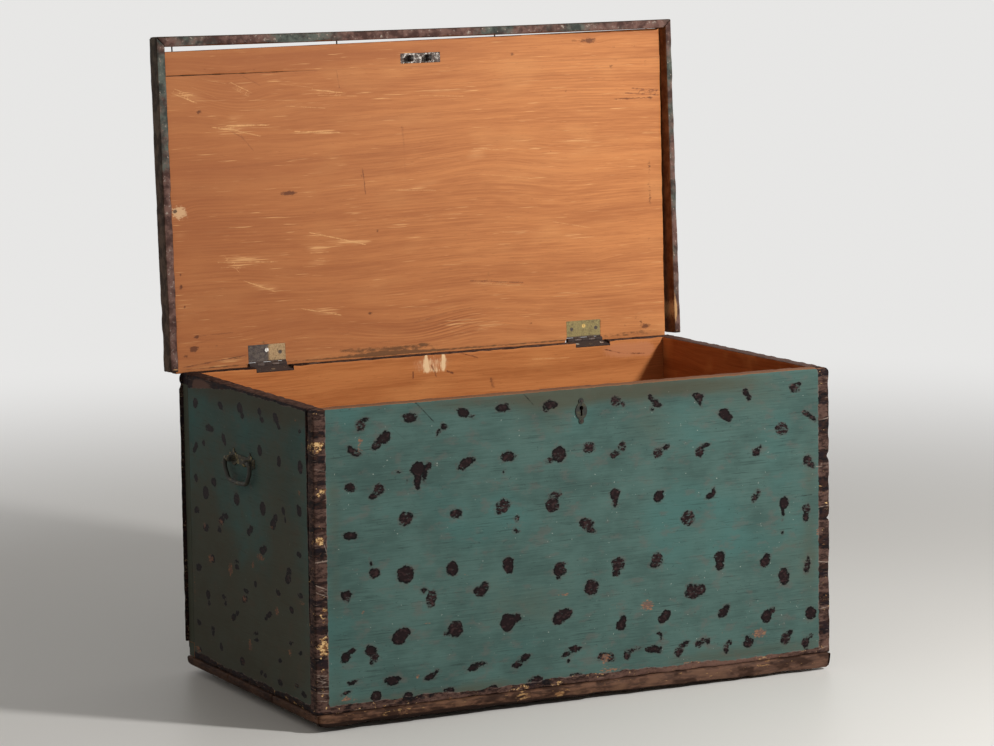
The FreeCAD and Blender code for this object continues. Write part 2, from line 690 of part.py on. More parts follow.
def backplate(x0, x1):
    """Shaped backplate: a bar, two roses and a pointed finial over each rose."""
    direction = Vector(x1 - x0, 0, 0)
    half_height = handle_plate_height / 2
    pieces = [block(x0, x1, -bail_half_width, bail_half_width, -half_height, half_height)]
    for side in (-1, 1):
        centre = side * post_half
        pieces.append(rod(handle_rose_radius, x1 - x0, Vector(x0, centre, 0), Vector(1, 0, 0)))
        finial = [Vector(x0, centre - handle_rose_radius / 2, 0), Vector(x0, centre, handle_finial_height),
                  Vector(x0, centre + handle_rose_radius / 2, 0)]
        pieces.append(prism(finial, direction))
    return fuse(pieces)


def handle(side):
    """All pieces of one handle. Drawn for the right side, then mirrored for the left."""
    place = Vector(0, handle_shift, handle_z)
    plate = backplate(half_length, half_length + handle_plate_thickness)
    posts = []
    holes = []
    nuts = []
    for end in (-1, 1):
        y = end * post_half
        root = half_length + handle_plate_thickness
        head = rod(handle_post_radius, handle_standoff, Vector(root, y, 0), Vector(1, 0, 0))
        ball = Part.makeSphere(handle_post_radius, Vector(bail_axis_x, y, 0))
        bolt_start = inner_half_length - handle_nut_thickness - handle_bolt_overrun
        bolt = rod(handle_bolt_radius, root - bolt_start, Vector(bolt_start, y, 0), Vector(1, 0, 0))
        bore = rod(bail_pin_radius + bail_pin_clearance, 4 * handle_post_radius,
                   Vector(bail_axis_x, y - 2 * handle_post_radius, 0), Vector(0, 1, 0))
        posts.append(fuse([head, ball, bolt]).cut(bore))
        holes.append(bolt)
        half = handle_nut_size / 2
        nut = block(inner_half_length - handle_nut_thickness, inner_half_length, y - half, y + half,
                    -half, half)
        nuts.append(nut.cut(bolt))
    made = {"backplate": cut_all(plate, holes), "posts": Part.makeCompound(posts),
            "nuts": Part.makeCompound(nuts), "bail": bail(bail_axis_x), "holes": Part.makeCompound(holes)}
    for key, shape in made.items():
        if side < 0:
            shape = shape.mirror(Vector(0, 0, 0), Vector(1, 0, 0))
        shape.translate(place)
        made[key] = shape
    return made


handles = {"left": handle(-1), "right": handle(1)}
for name in side_boards:
    side_boards[name] = side_boards[name].cut(handles[name]["holes"])

# ------------------------------------------------------------------ holes for the nails and screws
front_board = cut_all(front_board, bottom_nail_holes)
back_lower_board = cut_all(back_lower_board, bottom_nail_holes + back_nail_holes)
back_upper_board = cut_all(back_upper_board, bottom_nail_holes + back_nail_holes)
side_boards = {name: cut_all(board, bottom_nail_holes + back_nail_holes)
               for name, board in side_boards.items()}
bottom_planks = [cut_all(plank, bottom_nail_holes + skid_nail_holes) for plank in bottom_planks]
lid_main_plank = cut_all(lid_main_plank, lid_nail_holes + link_screw_holes + [link_seat])
lid_front_plank = cut_all(lid_front_plank, lid_nail_holes + link_screw_holes + [link_seat])
lid_front_rim = cut_all(lid_front_rim, front_nail_holes)
rims = {name: cut_all(rim, side_nail_holes) for name, rim in rims.items()}

# ------------------------------------------------------------------ write the nodes
save("front_board", front_board)
save("back_upper_board", back_upper_board)
save("back_lower_board", back_lower_board)
for name, board in side_boards.items():
    save(name + "_board", board)
for number, plank in enumerate(bottom_planks, 1):
    save("bottom_plank_" + str(number), plank)
save("bottom_nails", bottom_nails)
save("back_nails", back_nail_solids)
for name, skid in skids.items():
    save("skid_" + name, skid)
save("skid_nails", skid_nail_solids)

save("lid_main_plank", opened(lid_main_plank))
save("lid_front_plank", opened(lid_front_plank))
save("lid_rim_front", opened(lid_front_rim))
for name, rim in rims.items():
    save("lid_rim_" + name, opened(rim))
save("lid_rim_nails", [opened(nail) for nail in lid_nails])

for name, pieces in hinges.items():
    save("hinge_" + name + "_lower_leaf", pieces["lower_leaf"])
    save("hinge_" + name + "_lower_screws", pieces["lower_screws"])
    save("hinge_" + name + "_pin", pieces["pin"])
    save("hinge_" + name + "_upper_leaf", opened(pieces["upper_leaf"]))
    save("hinge_" + name + "_upper_screws", [opened(screw) for screw in pieces["upper_screws"]])

save("lock_plate", lock_plate)
save("lock_case", lock_case)
save("lock_bolt", lock_bolt)
save("lock_key_post", key_post)
save("lock_screws", lock_screws)
save("link_plate", opened(link_plate))
save("link_eyes", [opened(eye) for eye in link_eyes])
save("link_screws", [opened(screw) for screw in link_screws])
save("escutcheon", escutcheon)
save("escutcheon_pins", escutcheon_pins)

for name, pieces in handles.items():
    for piece in ("backplate", "posts", "nuts", "bail"):
        save("handle_" + name + "_" + piece, pieces[piece])
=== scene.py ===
# %% [markdown]
# # A painted sea chest
# A sea chest is a plain box of pine boards that has been painted, knocked about and handled for a
# hundred years. The measured model already holds every board, nail and hinge in its place. This
# lesson gives each of them its surface: worn arrises, brushed paint, bare pine, rust and dull brass.

from itertools import product
from math import cos, radians, sin

import bpy
import numpy as np
from mathutils import Matrix, Vector


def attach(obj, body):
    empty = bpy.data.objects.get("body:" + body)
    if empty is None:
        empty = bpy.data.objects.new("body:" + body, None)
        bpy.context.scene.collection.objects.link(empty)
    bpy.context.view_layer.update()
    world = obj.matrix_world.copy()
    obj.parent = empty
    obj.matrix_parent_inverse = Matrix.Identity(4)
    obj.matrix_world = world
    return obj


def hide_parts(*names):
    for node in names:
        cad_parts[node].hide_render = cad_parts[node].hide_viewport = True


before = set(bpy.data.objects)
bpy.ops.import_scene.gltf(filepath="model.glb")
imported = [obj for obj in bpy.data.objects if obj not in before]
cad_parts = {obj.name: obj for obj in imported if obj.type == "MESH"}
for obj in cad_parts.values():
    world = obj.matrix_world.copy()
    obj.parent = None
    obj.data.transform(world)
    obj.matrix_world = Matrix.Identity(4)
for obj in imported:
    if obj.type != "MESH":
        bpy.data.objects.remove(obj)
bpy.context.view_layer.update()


# %% Objects in the scene
def placed(name, data):
    """Makes an object and puts it in the scene."""
    made = bpy.data.objects.new(name, data)
    bpy.context.scene.collection.objects.link(made)
    return made


# %% [markdown]
# ## The camera
# A long lens from a little above and to the left flattens the box and shows three of its sides.
# A camera can be aimed at a target, but that leaves out the small roll of a tripod that is not quite
# level. Here the heading, the dip and the roll are three turns that are multiplied together.

# %% Camera
place = (-2.744, -5.391, 1.311)                   # metres
heading, dip, roll = -26.883, 7.615, -0.826       # degrees
camera_data = bpy.data.cameras.new("camera")
camera_data.lens, camera_data.sensor_width, camera_data.clip_end = 133.4, 36.0, 200.0
camera = placed("camera", camera_data)
camera.matrix_world = Matrix.Translation(place)
for angle, axis in ((heading, "Z"), (90 - dip, "X"), (roll, "Z")):
    camera.matrix_world = camera.matrix_world @ Matrix.Rotation(radians(angle), 4, axis)
bpy.context.scene.camera = camera
bpy.context.scene.view_settings.view_transform = "Standard"
print("camera stands", round(camera.location.length, 2), "m from the chest")

# %% [markdown]
# ## Node trees as sums
# A finish is a tree of nodes, and a tree of fifty nodes is hard to read as fifty calls. A small
# class can stand for one output socket and know its plus, minus and times, so that the maths of a
# finish reads as Python. Every other kind of node comes from the one method `node`.


# %% The socket wrapper
class Wire:
    """One output socket. Sums with numbers or other wires add Math nodes to its tree."""

    def __init__(self, finish, socket):
        self.finish, self.socket = finish, socket

    def math(self, operation, *others):
        operands = dict(enumerate((self, *others)))
        return self.finish.node("ShaderNodeMath", {"operation": operation}, operands)

    def __add__(self, other): return self.math("ADD", other)
    def __radd__(self, other): return self.math("ADD", other)
    def __sub__(self, other): return self.math("SUBTRACT", other)
    def __rsub__(self, other): return self.math("MULTIPLY_ADD", -1.0, other)
    def __mul__(self, other): return self.math("MULTIPLY", other)
    def __rmul__(self, other): return self.math("MULTIPLY", other)
    def __neg__(self): return self.math("MULTIPLY", -1.0)
    def __abs__(self): return self.math("ABSOLUTE")
    def most(self, other): return self.math("MAXIMUM", other)

    def step(self, low, high):
        """0 below low, 1 above high and smooth between them. With low above high it falls."""
        return self.finish.node("ShaderNodeMapRange", {"interpolation_type": "SMOOTHSTEP"},
                                {"Value": self, "From Min": low, "From Max": high})


class Finish:
    """A material, or the world, that is being drawn: its node tree, and short names for common nodes."""

    def __init__(self, name, world=None):
        self.material = world or bpy.data.materials.new(name)
        self.material.use_nodes = True
        self.tree = self.material.node_tree
        if not world:
            self.shader = self.tree.nodes["Principled BSDF"]
            self.place = self.node("ShaderNodeTexCoord", output="Object")

    def node(self, kind, settings=None, sockets=None, output=0):
        """Adds a node: its settings first, then the values or links of its sockets."""
        made = self.tree.nodes.new(kind)
        for key, value in (settings or {}).items():
            setattr(made, key, value)
        for key, value in (sockets or {}).items():
            if isinstance(value, Wire):
                self.tree.links.new(value.socket, made.inputs[key])
            else:
                made.inputs[key].default_value = value
        return Wire(self, made.outputs[output])

    def attributes(self, names):
        """The signals that a piece's points hold, from their names with spaces between."""
        return [self.node("ShaderNodeAttribute", {"attribute_name": name}, output="Fac")
                for name in names.split()]

    def axis(self, name):
        """X, Y or Z of the place on the chest, in millimetres."""
        return self.node("ShaderNodeSeparateXYZ", {}, {0: self.place}, output=name) * 1000.0

    def noise(self, size, stretch=(1, 1, 1), detail=2.0, rough=0.5, seed=0.0, at=None):
        """Noise from 0 to 1 with lumps of the given size in mm, drawn out by stretch along X, Y, Z."""
        scale = [1000.0 / size / value for value in stretch]
        moved = self.node("ShaderNodeVectorMath", {"operation": "MULTIPLY_ADD"},
                          {0: at or self.place, 1: scale, 2: (seed, seed * 0.7, -seed)})
        return self.node("ShaderNodeTexNoise", {}, {"Vector": moved, "Scale": 1.0, "Detail": detail,
                                                    "Roughness": rough})

    def blend(self, factor, first, second):
        """One colour where factor is 0 and the other where it is 1."""
        first, second = (colour if isinstance(colour, Wire) else (*colour, 1.0)
                         for colour in (first, second))
        return self.node("ShaderNodeMix", {"data_type": "RGBA"}, {0: factor, 6: first, 7: second},
                         output=2)

    def coats(self, colour, *coats):
        """Lays coats over a colour, one after the other. Each is its mask and its own colour."""
        for mask, coat in coats:
            colour = self.blend(mask, colour, coat)
        return colour

    def bump(self, height, depth):
        """A normal from a height in mm."""
        return self.node("ShaderNodeBump", {}, {"Height": height * 0.001, "Distance": 1.0,
                                                "Strength": depth})

    def background_rays(self):
        """1 for the rays that meet the pale background: those straight from the camera, those
        mirrored by a glossy surface and those that come through a clear one."""
        camera_ray, mirrored, through = (self.node("ShaderNodeLightPath", output=ray) for ray in (
            "Is Camera Ray", "Is Glossy Ray", "Is Transmission Ray"))
        return camera_ray.most(mirrored).most(through)

    def show(self, shader):
        """Joins a mix of shaders to the output."""
        output = next(node for node in self.tree.nodes if "ShaderNodeOutput" in node.bl_idname)
        self.tree.links.new(shader.socket, output.inputs["Surface"])

    def done(self, **sockets):
        """Joins colours, roughness and so on to the shader, and gives the material."""
        for name, value in sockets.items():
            socket = self.shader.inputs[name.replace("_", " ")]
            if isinstance(value, Wire):
                self.tree.links.new(value.socket, socket)
            else:
                socket.default_value = value
        return self.material


# %% [markdown]
# ## Surfaces from arrays
# A board is a box whose arrises have been rounded by wear. A Bevel modifier would round a plain
# cube, but the paint needs thousands of points to hold its dabs and chips. So each side of the
# board is a grid, the six grids share their borders, and the rounding is one formula for all of
# the points at once.


# %% Rounded board
def stations(low, high, step, radius, extra=()):
    """Places along one axis: even steps, with close ones near both ends and at the extra places."""
    inner = np.linspace(low + radius, high - radius, max(2, int(round((high - low) / step)) + 1))
    rim = radius * np.array([0.0, 0.45])
    places = np.concatenate([low + rim, inner, high - rim[::-1], np.asarray(extra, float)])
    places = np.sort(places)
    return places[np.concatenate([[True], np.diff(places) > 0.02])]


def rounded_board(low, high, steps, radius, extra=((), (), ())):
    """Six grids make a box. Each point is pulled to the box shrunk by the radius and pushed back out
    by the radius along the line between the two, which rounds every arris and corner. Gives the
    rounded points, the faces, and the points as they were on the sharp box."""
    low, high = np.array(low, float), np.array(high, float)
    lines = [stations(low[axis], high[axis], steps[axis], radius, extra[axis]) for axis in range(3)]
    points, faces, count = [], [], 0
    for axis in range(3):
        first, second = (axis + 1) % 3, (axis + 2) % 3
        across, along = np.meshgrid(lines[first], lines[second], indexing="ij")
        rows, columns = across.shape
        index = np.arange(rows * columns).reshape(rows, columns)
        quads = np.stack([index[:-1, :-1], index[1:, :-1], index[1:, 1:], index[:-1, 1:]], -1)
        quads = quads.reshape(-1, 4)
        for value, order in ((low[axis], quads[:, ::-1]), (high[axis], quads)):
            side = np.empty((rows * columns, 3))
            side[:, axis], side[:, first], side[:, second] = value, across.ravel(), along.ravel()
            points.append(side)
            faces.append(order + count)
            count += rows * columns
    points = np.concatenate(points)
    faces = np.concatenate(faces)
    points, back = np.unique(np.round(points, 3), axis=0, return_inverse=True)
    faces = back.reshape(-1)[faces]
    core = np.clip(points, low + radius, high - radius)
    away = points - core
    length = np.linalg.norm(away, axis=1, keepdims=True)
    return core + away / np.maximum(length, 1e-9) * radius * (length > 1e-9), faces, points


lattice_turns, seed_turn, scatter = np.array([127.1, 311.7, 74.7]), 17.3, 43758.5453


def lumps(points, size, seed):
    """Value noise from 0 to 1: every corner of a lattice of the given size has a fixed random
    number, and a point takes the smooth blend of the eight corners round it. The number is what
    follows the point in scatter times the sine of (corner . lattice_turns + seed x seed_turn)."""
    cell = points / size
    base = np.floor(cell)
    part = cell - base
    part = part * part * (3 - 2 * part)
    total = np.zeros(len(points))
    for corner in product((0.0, 1.0), repeat=3):
        corner = np.array(corner)
        number = np.sin((base + corner) @ lattice_turns + seed * seed_turn) * scatter
        weight = np.prod(np.where(corner > 0, part, 1 - part), axis=1)
        total += weight * (number - np.floor(number))
    return total


def knocked(points, low, high, reach, depth, size, seed):
    """Worn arrises: a point within reach of two sides of the board moves in from both of them, by
    more where the noise is high. All in mm; size is that of the lumps."""
    low, high = np.array(low, float), np.array(high, float)
    closeness = np.stack([1 - (points - low) / reach, 1 - (high - points) / reach])
    closeness = np.clip(closeness, 0, 1)
    inward = closeness[0] - closeness[1]
    arris = np.sort(np.max(closeness, axis=0), axis=1)[:, 1]
    chips = np.clip(lumps(points, size, seed) * 1.7 - 0.75, 0, 1) + 0.25 * lumps(points, size / 4, seed + 3)
    return points + inward * (arris * chips * depth)[:, None]


# %% [markdown]
# ## From arrays to a Blender piece
# Blender takes arrays fast through `foreach_set`. The helper also stores the finish's own signals,
# such as how far a point is from a dab of paint, as attributes of the mesh.


# %% Piece maker
def piece(name, points, faces, material, body, stands_for=(), signals=None):
    """Makes a mesh object from points in mm, gives it its finish and hangs it on its body."""
    mesh = bpy.data.meshes.new(name)
    sides = faces.shape[1]
    mesh.vertices.add(len(points))
    mesh.vertices.foreach_set("co", (np.asarray(points) * 0.001).astype(np.float32).ravel())
    mesh.loops.add(faces.size)
    mesh.loops.foreach_set("vertex_index", faces.astype(np.int32).ravel())
    mesh.polygons.add(len(faces))
    mesh.polygons.foreach_set("loop_start", np.arange(0, faces.size, sides, dtype=np.int32))
    mesh.update(calc_edges=True)
    mesh.validate()
    mesh.set_sharp_from_angle(angle=radians(40))
    for key, values in (signals or {}).items():
        layer = mesh.attributes.new(key, "FLOAT", "POINT")
        layer.data.foreach_set("value", np.asarray(values, dtype=np.float32))
    made = placed(name, mesh)
    mesh.materials.append(material)
    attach(made, body)
    if stands_for:
        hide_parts(*stands_for)
    print(name, len(points), "points")


# %% [markdown]
# ## Dabs of dark paint
# The painter went over the blue-green ground with a loaded brush and set down a dab every hand's
# breadth, in rows. Each dab below is (across, up, half width, half height, tilt in degrees, wear).
# Wear 0 is a solid dab, 1 is one that has lost its middle. They were set down one by one in mm, as the
# painter did, because a scatter of random spots looks machine-made.

# %% The dabs on the front
front_dabs = [
    (-384, 478, 9, 9, 10, .9), (-375, 487, 6, 3, 0, .2), (-299, 484, 14, 7.5, -3, .3),
    (-343, 456, 12, 9, 35, .2), (-357, 445, 10, 6, 35, .7), (-400, 441, 9, 6, -25, .5),
    (-390, 434, 8, 4, 10, .8), (-403, 382, 10, 7, -15, .3), (-354, 376, 9, 9, 30, .7),
    (-364, 365, 7, 5, 25, .4), (-286, 402, 13, 11, 0, 0), (-287, 385, 6, 15, 0, .1),
    (-274, 392, 3.5, 9, 0, .1), (-267, 405, 6, 6, 0, .6), (-310, 325, 11.5, 11.5, 0, .75),
    (-299, 329, 5, 2.5, -25, .1), (-405, 307, 12, 7, -8, 0), (-306, 385, 2, 4, 0, .2),
    (-239, 465, 6, 5, -10, .4), (-250, 457, 3, 6, -20, .6), (-222, 325, 11, 8, 0, .5),
    (-206, 485, 12, 7, -15, .2), (-191, 477, 4, 3, 0, .8), (-137, 486, 12, 6.5, -5, .4),
    (-128, 491, 6, 3, 20, .7), (-52, 485, 13.5, 7.5, 0, .4), (-60, 476, 4, 3, 0, .5),
    (-201, 405, 14, 7, 14, .3), (-208, 398, 8, 5, 20, .5), (-128, 408, 14.5, 8, -3, .5),
    (-37, 404, 12.5, 13, 0, .35), (-54, 396, 8, 5, 15, .95), (-136, 386, 2.5, 3, 0, .3),
    (-138, 330, 13.5, 11, 10, .8), (-145, 321, 5, 4, 0, .5), (-50, 324, 13, 12, 0, .8),
    (-44, 339, 11, 6, 10, .9), (-113, 308, 5, 5, 0, .85), (-115, 288, 5, 4, 0, .85),
    (11, 288, 13, 9, -10, .7), (18, 278, 9, 6, -25, .6), (17, 410, 11, 9, 10, .9),
    (66, 482, 9.5, 8.5, 0, .75), (80, 476, 4, 5, 30, .95), (132, 482, 7, 5, -40, .5),
    (143, 472, 9, 6, -35, .6), (134, 463, 3, 2.5, 0, .3), (219, 478, 10, 6, -10, .4),
    (222, 470, 5, 8, 15, .3), (64, 395, 9, 6, 15, .6), (78, 407, 8, 7, 50, .8), (143, 391, 9, 8, 15, .85),
    (159, 400, 7, 4, 20, .3), (222, 386, 8.5, 8.5, 20, .6), (233, 396, 7, 3.5, 12, .5),
    (64, 332, 9.5, 8.5, 0, .5), (64, 320, 5.5, 11, -5, .6), (144, 320, 10, 9.5, 15, .25),
    (153, 328, 4, 3, 30, .2), (240, 312, 8, 5.5, 25, .1), (247, 319, 4, 6, 0, .2),
    (199, 279, 13, 12, 0, .85), (268, 445, 11, 9, -20, .15), (278, 437, 6, 7, -40, .1),
    (309, 478, 5, 7, 30, .5), (315, 469, 6, 5, -40, .5), (401, 478, 10, 8.5, 0, .85),
    (410, 485, 3, 3, 0, .3), (421, 434, 6, 4, -30, .6), (434, 425, 9, 3.8, -35, .8),
    (377, 412, 12.5, 11, 5, .9), (328, 377, 7.5, 7, 35, .3), (337, 386, 3, 3, 0, .4),
    (424, 356, 8, 8, -40, .75), (431, 347, 8, 5, -30, .8), (324, 301, 8, 6, 15, .6),
    (332, 310, 4, 4.5, 20, .8), (381, 288, 9, 11.5, 0, .2), (379, 272, 3, 9, 0, .1),
    (422, 276, 7, 8, 10, .85), (421, 261, 6, 8, 0, .4), (-364, 244, 9, 8.5, 10, .7),
    (-370, 259, 2, 5, 10, .1), (-311, 237, 15, 14, 0, .3), (-229, 238, 10.5, 11.5, 0, .2),
    (-413, 215, 9.5, 6, 0, .1), (-412, 208, 7, 6, 0, .98), (-280, 208, 5, 4, 20, .4),
    (-267, 193, 9, 14, -12, .85), (-323, 138, 14, 12, 25, .2), (-315, 144, 11, 9, 10, .4),
    (-225, 141, 13, 13, 10, .5), (-239, 135, 7, 3.5, 0, .4), (-416, 115, 9, 8, 35, .2),
    (-406, 124, 9, 4.5, 25, .1), (-374, 122, 10, 8.5, -20, .15), (-367, 111, 8, 8, 0, .9),
    (-372, 102, 3, 3, 0, .2), (-405, 75, 9, 3.8, 8, .3), (-337, 70, 15, 7.5, 4, .1),
    (-271, 69, 9, 5, 15, .3), (-260, 75, 6, 3.5, 20, .5), (-416, 59, 8, 3, 20, .6),
    (-365, 48, 9.5, 9, 0, .4), (-310, 42, 9, 7, 0, .3), (-238, 43, 9, 5, 0, .6),
    (-130, 236, 10.5, 11, 0, .25), (-128, 227, 7, 7, 0, .1), (-180, 197, 12, 9, 10, .3),
    (-172, 206, 7, 5, 0, .7), (-39, 218, 10, 11, 15, .45), (-42, 207, 4, 6, 10, .1),
    (-31, 226, 5, 3, 20, .2), (-28, 214, 3, 5, -10, .6), (-133, 141, 13, 15, -10, .1),
    (-117, 147, 10, 7, -5, .1), (-33, 143, 17, 10, 12, .5), (-42, 134, 8, 7, 0, .3),
    (-196, 75, 10, 6, 20, .2), (-181, 80, 9, 3.8, -8, .3), (-116, 72, 11, 5.5, 10, .5),
    (-101, 82, 10, 5.5, 10, .4), (-27, 79, 9, 5, 15, .5), (-12, 86, 12, 6, -5, .4),
    (-24, 67, 2, 2.5, 0, .1), (-161, 37, 10, 6, 0, .3), (-84, 41, 13, 8, 10, .6), (-10, 38, 14, 8, 0, .7),
    (19, 183, 13.5, 12.5, 0, .55), (69, 216, 12.5, 11.5, -10, .7), (65, 202, 7, 6, 0, .5),
    (141, 217, 11, 11.5, 20, .8), (134, 208, 8, 5, -10, .7), (207, 156, 15, 12, -5, .7),
    (222, 159, 9, 9, 0, .75), (202, 168, 5, 3, 0, .2), (72, 115, 9, 9, 20, .1), (77, 124, 6, 8, -15, .1),
    (150, 118, 9, 8, 0, .25), (158, 125, 8, 8, 20, .2), (40, 68, 11, 6.5, 10, .9), (54, 63, 8, 7, -30, .8),
    (83, 65, 6, 8, 10, .9), (95, 73, 9, 2.6, 10, .6), (131, 70, 14, 6.5, 0, .3), (143, 66, 5, 4, 0, .4),
    (146, 88, 1.8, 7, 8, .2), (142, 95, 5, 1.8, -8, .2), (180, 61, 8, 10, -30, .85),
    (192, 72, 8, 5, 30, .6), (218, 69, 8, 6, 25, .7), (227, 74, 8, 4, 10, .7), (236, 71, 2.6, 6, 10, .3),
    (257, 210, 10, 10, 0, .4), (258, 196, 8, 9, 10, .4), (344, 193, 9.5, 9.5, 15, .3),
    (349, 203, 5, 5, 10, .2), (380, 165, 10.5, 14.5, 8, .4), (423, 178, 5.5, 11, -10, .7),
    (425, 189, 3, 5, 0, .6), (263, 116, 9, 8, 25, .2), (271, 124, 6, 5, 35, .2),
    (347, 102, 10, 12, -25, .2), (358, 111, 6, 6, 0, .8), (430, 98, 10.5, 10.5, -10, .1),
    (312, 61, 10, 8, 20, .4), (310, 69, 4, 5, 0, .2), (269, 56, 6, 8, 0, .85), (276, 65, 6, 5, 20, .7),
    (383, 61, 9, 11, -20, .7), (392, 70, 5, 4, -20, .6), (420, 49, 7, 9, -10, .7), (429, 60, 6, 4, 20, .7),
    (422, 33, 5, 4, 0, .2), (378, 238, 2.5, 3, 0, .1), (-320, 399, 4, 1.6, 0, .6),
]
print(len(front_dabs), "brush marks on the front")

# %% [markdown]
# The sides have the same dabs, smaller and more rubbed, in about six rows. On the left they run
# from the front (low numbers) to the back. The right side is the guess that it was painted alike.

# %% The dabs on the sides
left_dabs = [
    (-124, 478, 11, 8, 25, .3), (-135, 467, 8, 5, 20, .4), (-60, 481, 8, 6, 20, .5),
    (-69, 469, 8, 5, 10, .6), (-216, 469, 5, 4, 0, .4), (-215, 413, 9.5, 11.5, 0, .6),
    (-133, 411, 8, 9, 0, .2), (-57, 418, 9, 9, 10, .3), (-208, 342, 10, 8, 0, .3), (-203, 350, 4, 4, 0, .1),
    (-146, 334, 7, 6, 30, .3), (-153, 320, 4, 6, -10, .3), (-115, 318, 9, 6, -20, .6),
    (-105, 307, 12, 9, -25, .5), (-64, 326, 12, 11, 20, .5), (-203, 273, 9, 5, 0, .2),
    (-15, 286, 9, 6, -20, .6), (-5, 279, 7, 6, 0, .5), (-163, 240, 9, 6, 0, .8),
    (-158, 227, 12, 8, -15, .8), (-206, 208, 10, 4, 0, .4), (-118, 199, 10, 5, 0, .5),
    (-71, 263, 7, 4, 0, .3), (-60, 257, 12, 7, -10, .7), (-28, 198, 6, 6, 0, .2),
    (-82, 157, 11, 5, -20, .3), (-70, 150, 8, 4, -30, .4), (-202, 116, 10, 3, -8, .1),
    (-164, 125, 9, 3, -12, .3), (-26, 117, 10, 3, -10, .3), (-26, 106, 9, 3, -6, .3),
    (-211, 52, 10, 5, 5, .3), (-186, 61, 8, 3, -5, .2), (-118, 54, 12, 5, 8, .4), (-60, 54, 6, 4, 0, .3),
    (-44, 56, 6, 4, -20, .5), (20, 477, 12, 9, 15, .4), (10, 466, 7, 5, 0, .4), (101, 471, 12, 6, 14, .3),
    (208, 463, 11, 8, -20, .4), (92, 420, 8, 7, 10, .5), (85, 413, 6, 5, 0, .6), (149, 428, 17, 6, 0, .6),
    (176, 400, 7, 5, 0, .8), (209, 391, 8, 6, -25, .2), (217, 383, 7, 5, -30, .2), (41, 325, 12, 10, 0, .7),
    (135, 340, 10, 7, 0, .5), (143, 342, 5, 4, 0, .2), (172, 318, 13, 11, -20, .3), (90, 291, 11, 5, 0, .3),
    (107, 281, 13, 7, -20, .9), (213, 283, 11, 6, -15, .6), (118, 264, 9, 5, 0, .7),
    (174, 259, 12, 6, -10, .7), (46, 222, 9, 3, 0, .3), (49, 213, 9, 4, 0, .4), (149, 211, 9, 7, 0, .5),
    (210, 187, 12, 6, -12, .3), (12, 180, 10, 4, 5, .4), (18, 165, 12, 6, -15, .9), (105, 155, 9, 4, 0, .3),
    (99, 144, 6, 4, -15, .3), (173, 147, 9, 8, 0, .4), (169, 133, 6, 4, 0, .2), (50, 137, 9, 4, -20, .4),
    (66, 127, 10, 6, -10, .5), (155, 94, 9, 3, 0, .5), (156, 85, 6, 5, 0, .8), (215, 93, 9, 5, 0, .4),
    (121, 68, 8, 6, 15, .4), (34, 60, 11, 7, 0, .8), (214, 47, 6, 4, 0, .4), (213, 337, 9, 7, 10, .5),
    (-170, 180, 8, 6, 10, .6), (-120, 90, 8, 4, 0, .4),
]
right_dabs = [(-y * 0.97 + 6, z + (7 if index % 2 else -5), height, width * 0.8, -tilt, wear)
              for index, (y, z, width, height, tilt, wear) in enumerate(left_dabs)]
print(len(left_dabs), "marks on each side")


# %% Distance to the nearest dab
def dab_signals(across, up, dabs):
    """Distance in mm from the edge of the dabs, below 0 inside them, and the wear of the nearest one.
    In a dab's own turned axes the distance is its short half size times (distance over half sizes
    - 1). Dabs that touch flow together: the distance is -k log(sum of e to the -distance/k)."""
    flow = 1.3
    total = np.full(len(across), np.exp(-12.0 / flow))
    nearest, worn = np.full(len(across), 12.0), np.zeros(len(across))
    for x, z, half_width, half_height, tilt, wear in dabs:
        turn = radians(tilt)
        along = (across - x) * cos(turn) + (up - z) * sin(turn)
        over = (up - z) * cos(turn) - (across - x) * sin(turn)
        far = (np.hypot(along / half_width, over / half_height) - 1) * min(half_width, half_height)
        total += np.exp(-far / flow)
        closer = far < nearest
        nearest, worn = np.where(closer, far, nearest), np.where(closer, wear, worn)
    return -flow * np.log(total), worn


# %% [markdown]
# ## Cracks and scratches
# A crack is thinner than the grid of points, so it can't be a row of points. But the signed distance
# from a straight line is itself a straight slope, which any grid carries exactly. So the points hold
# the distance, and the finish draws the thin line where it passes through 0.


# %% Line marks
def line_signals(across, up, lines, steps=(3.6, 3.6)):
    """For lines (across, up, across, up, half width, strength): the signed distance from the nearest
    one over its half width, and its strength at the points next to it, 0 further away, because the
    sign turns again halfway to the next line. Strength above 0 is a dark crack, below 0 a pale
    scratch. Steps are the spacings of the grid."""
    nearest = np.full(len(across), 99.0)
    place, strength = np.zeros(len(across)), np.zeros(len(across))
    for x0, z0, x1, z1, half, amount in lines:
        size = np.hypot(x1 - x0, z1 - z0)
        along = ((across - x0) * (x1 - x0) + (up - z0) * (z1 - z0)) / size
        over = ((up - z0) * (x1 - x0) - (across - x0) * (z1 - z0)) / size
        beyond = np.maximum(np.abs(along - size / 2) - size / 2, 0)
        far = np.hypot(over, beyond)
        closer = far < nearest
        reach = 1.05 * (abs(z1 - z0) * steps[0] + abs(x1 - x0) * steps[1]) / size
        nearest = np.where(closer, far, nearest)
        place = np.where(closer, over / half, place)
        strength = np.where(closer, amount * (far < reach), strength)
    return place, strength


def draw_lines(finish, colour, dark, light, size=3.0):
    """Draws the marks that the points hold over a colour, thin here and thick there."""
    place, strength = finish.attributes("line line_strength")
    rough = (finish.noise(size, detail=3.0, rough=0.65, seed=91) - 0.5) * 2.8
    broken = finish.noise(size * 5, detail=2.0, seed=92).step(0.34, 0.58) * 0.75 + 0.25
    near = (abs(place) + rough).step(1.3, 0.1) * broken
    return finish.coats(colour, (near * strength.step(0.1, 1.0), dark),
                        (near * strength.step(-0.1, -1.0), light))


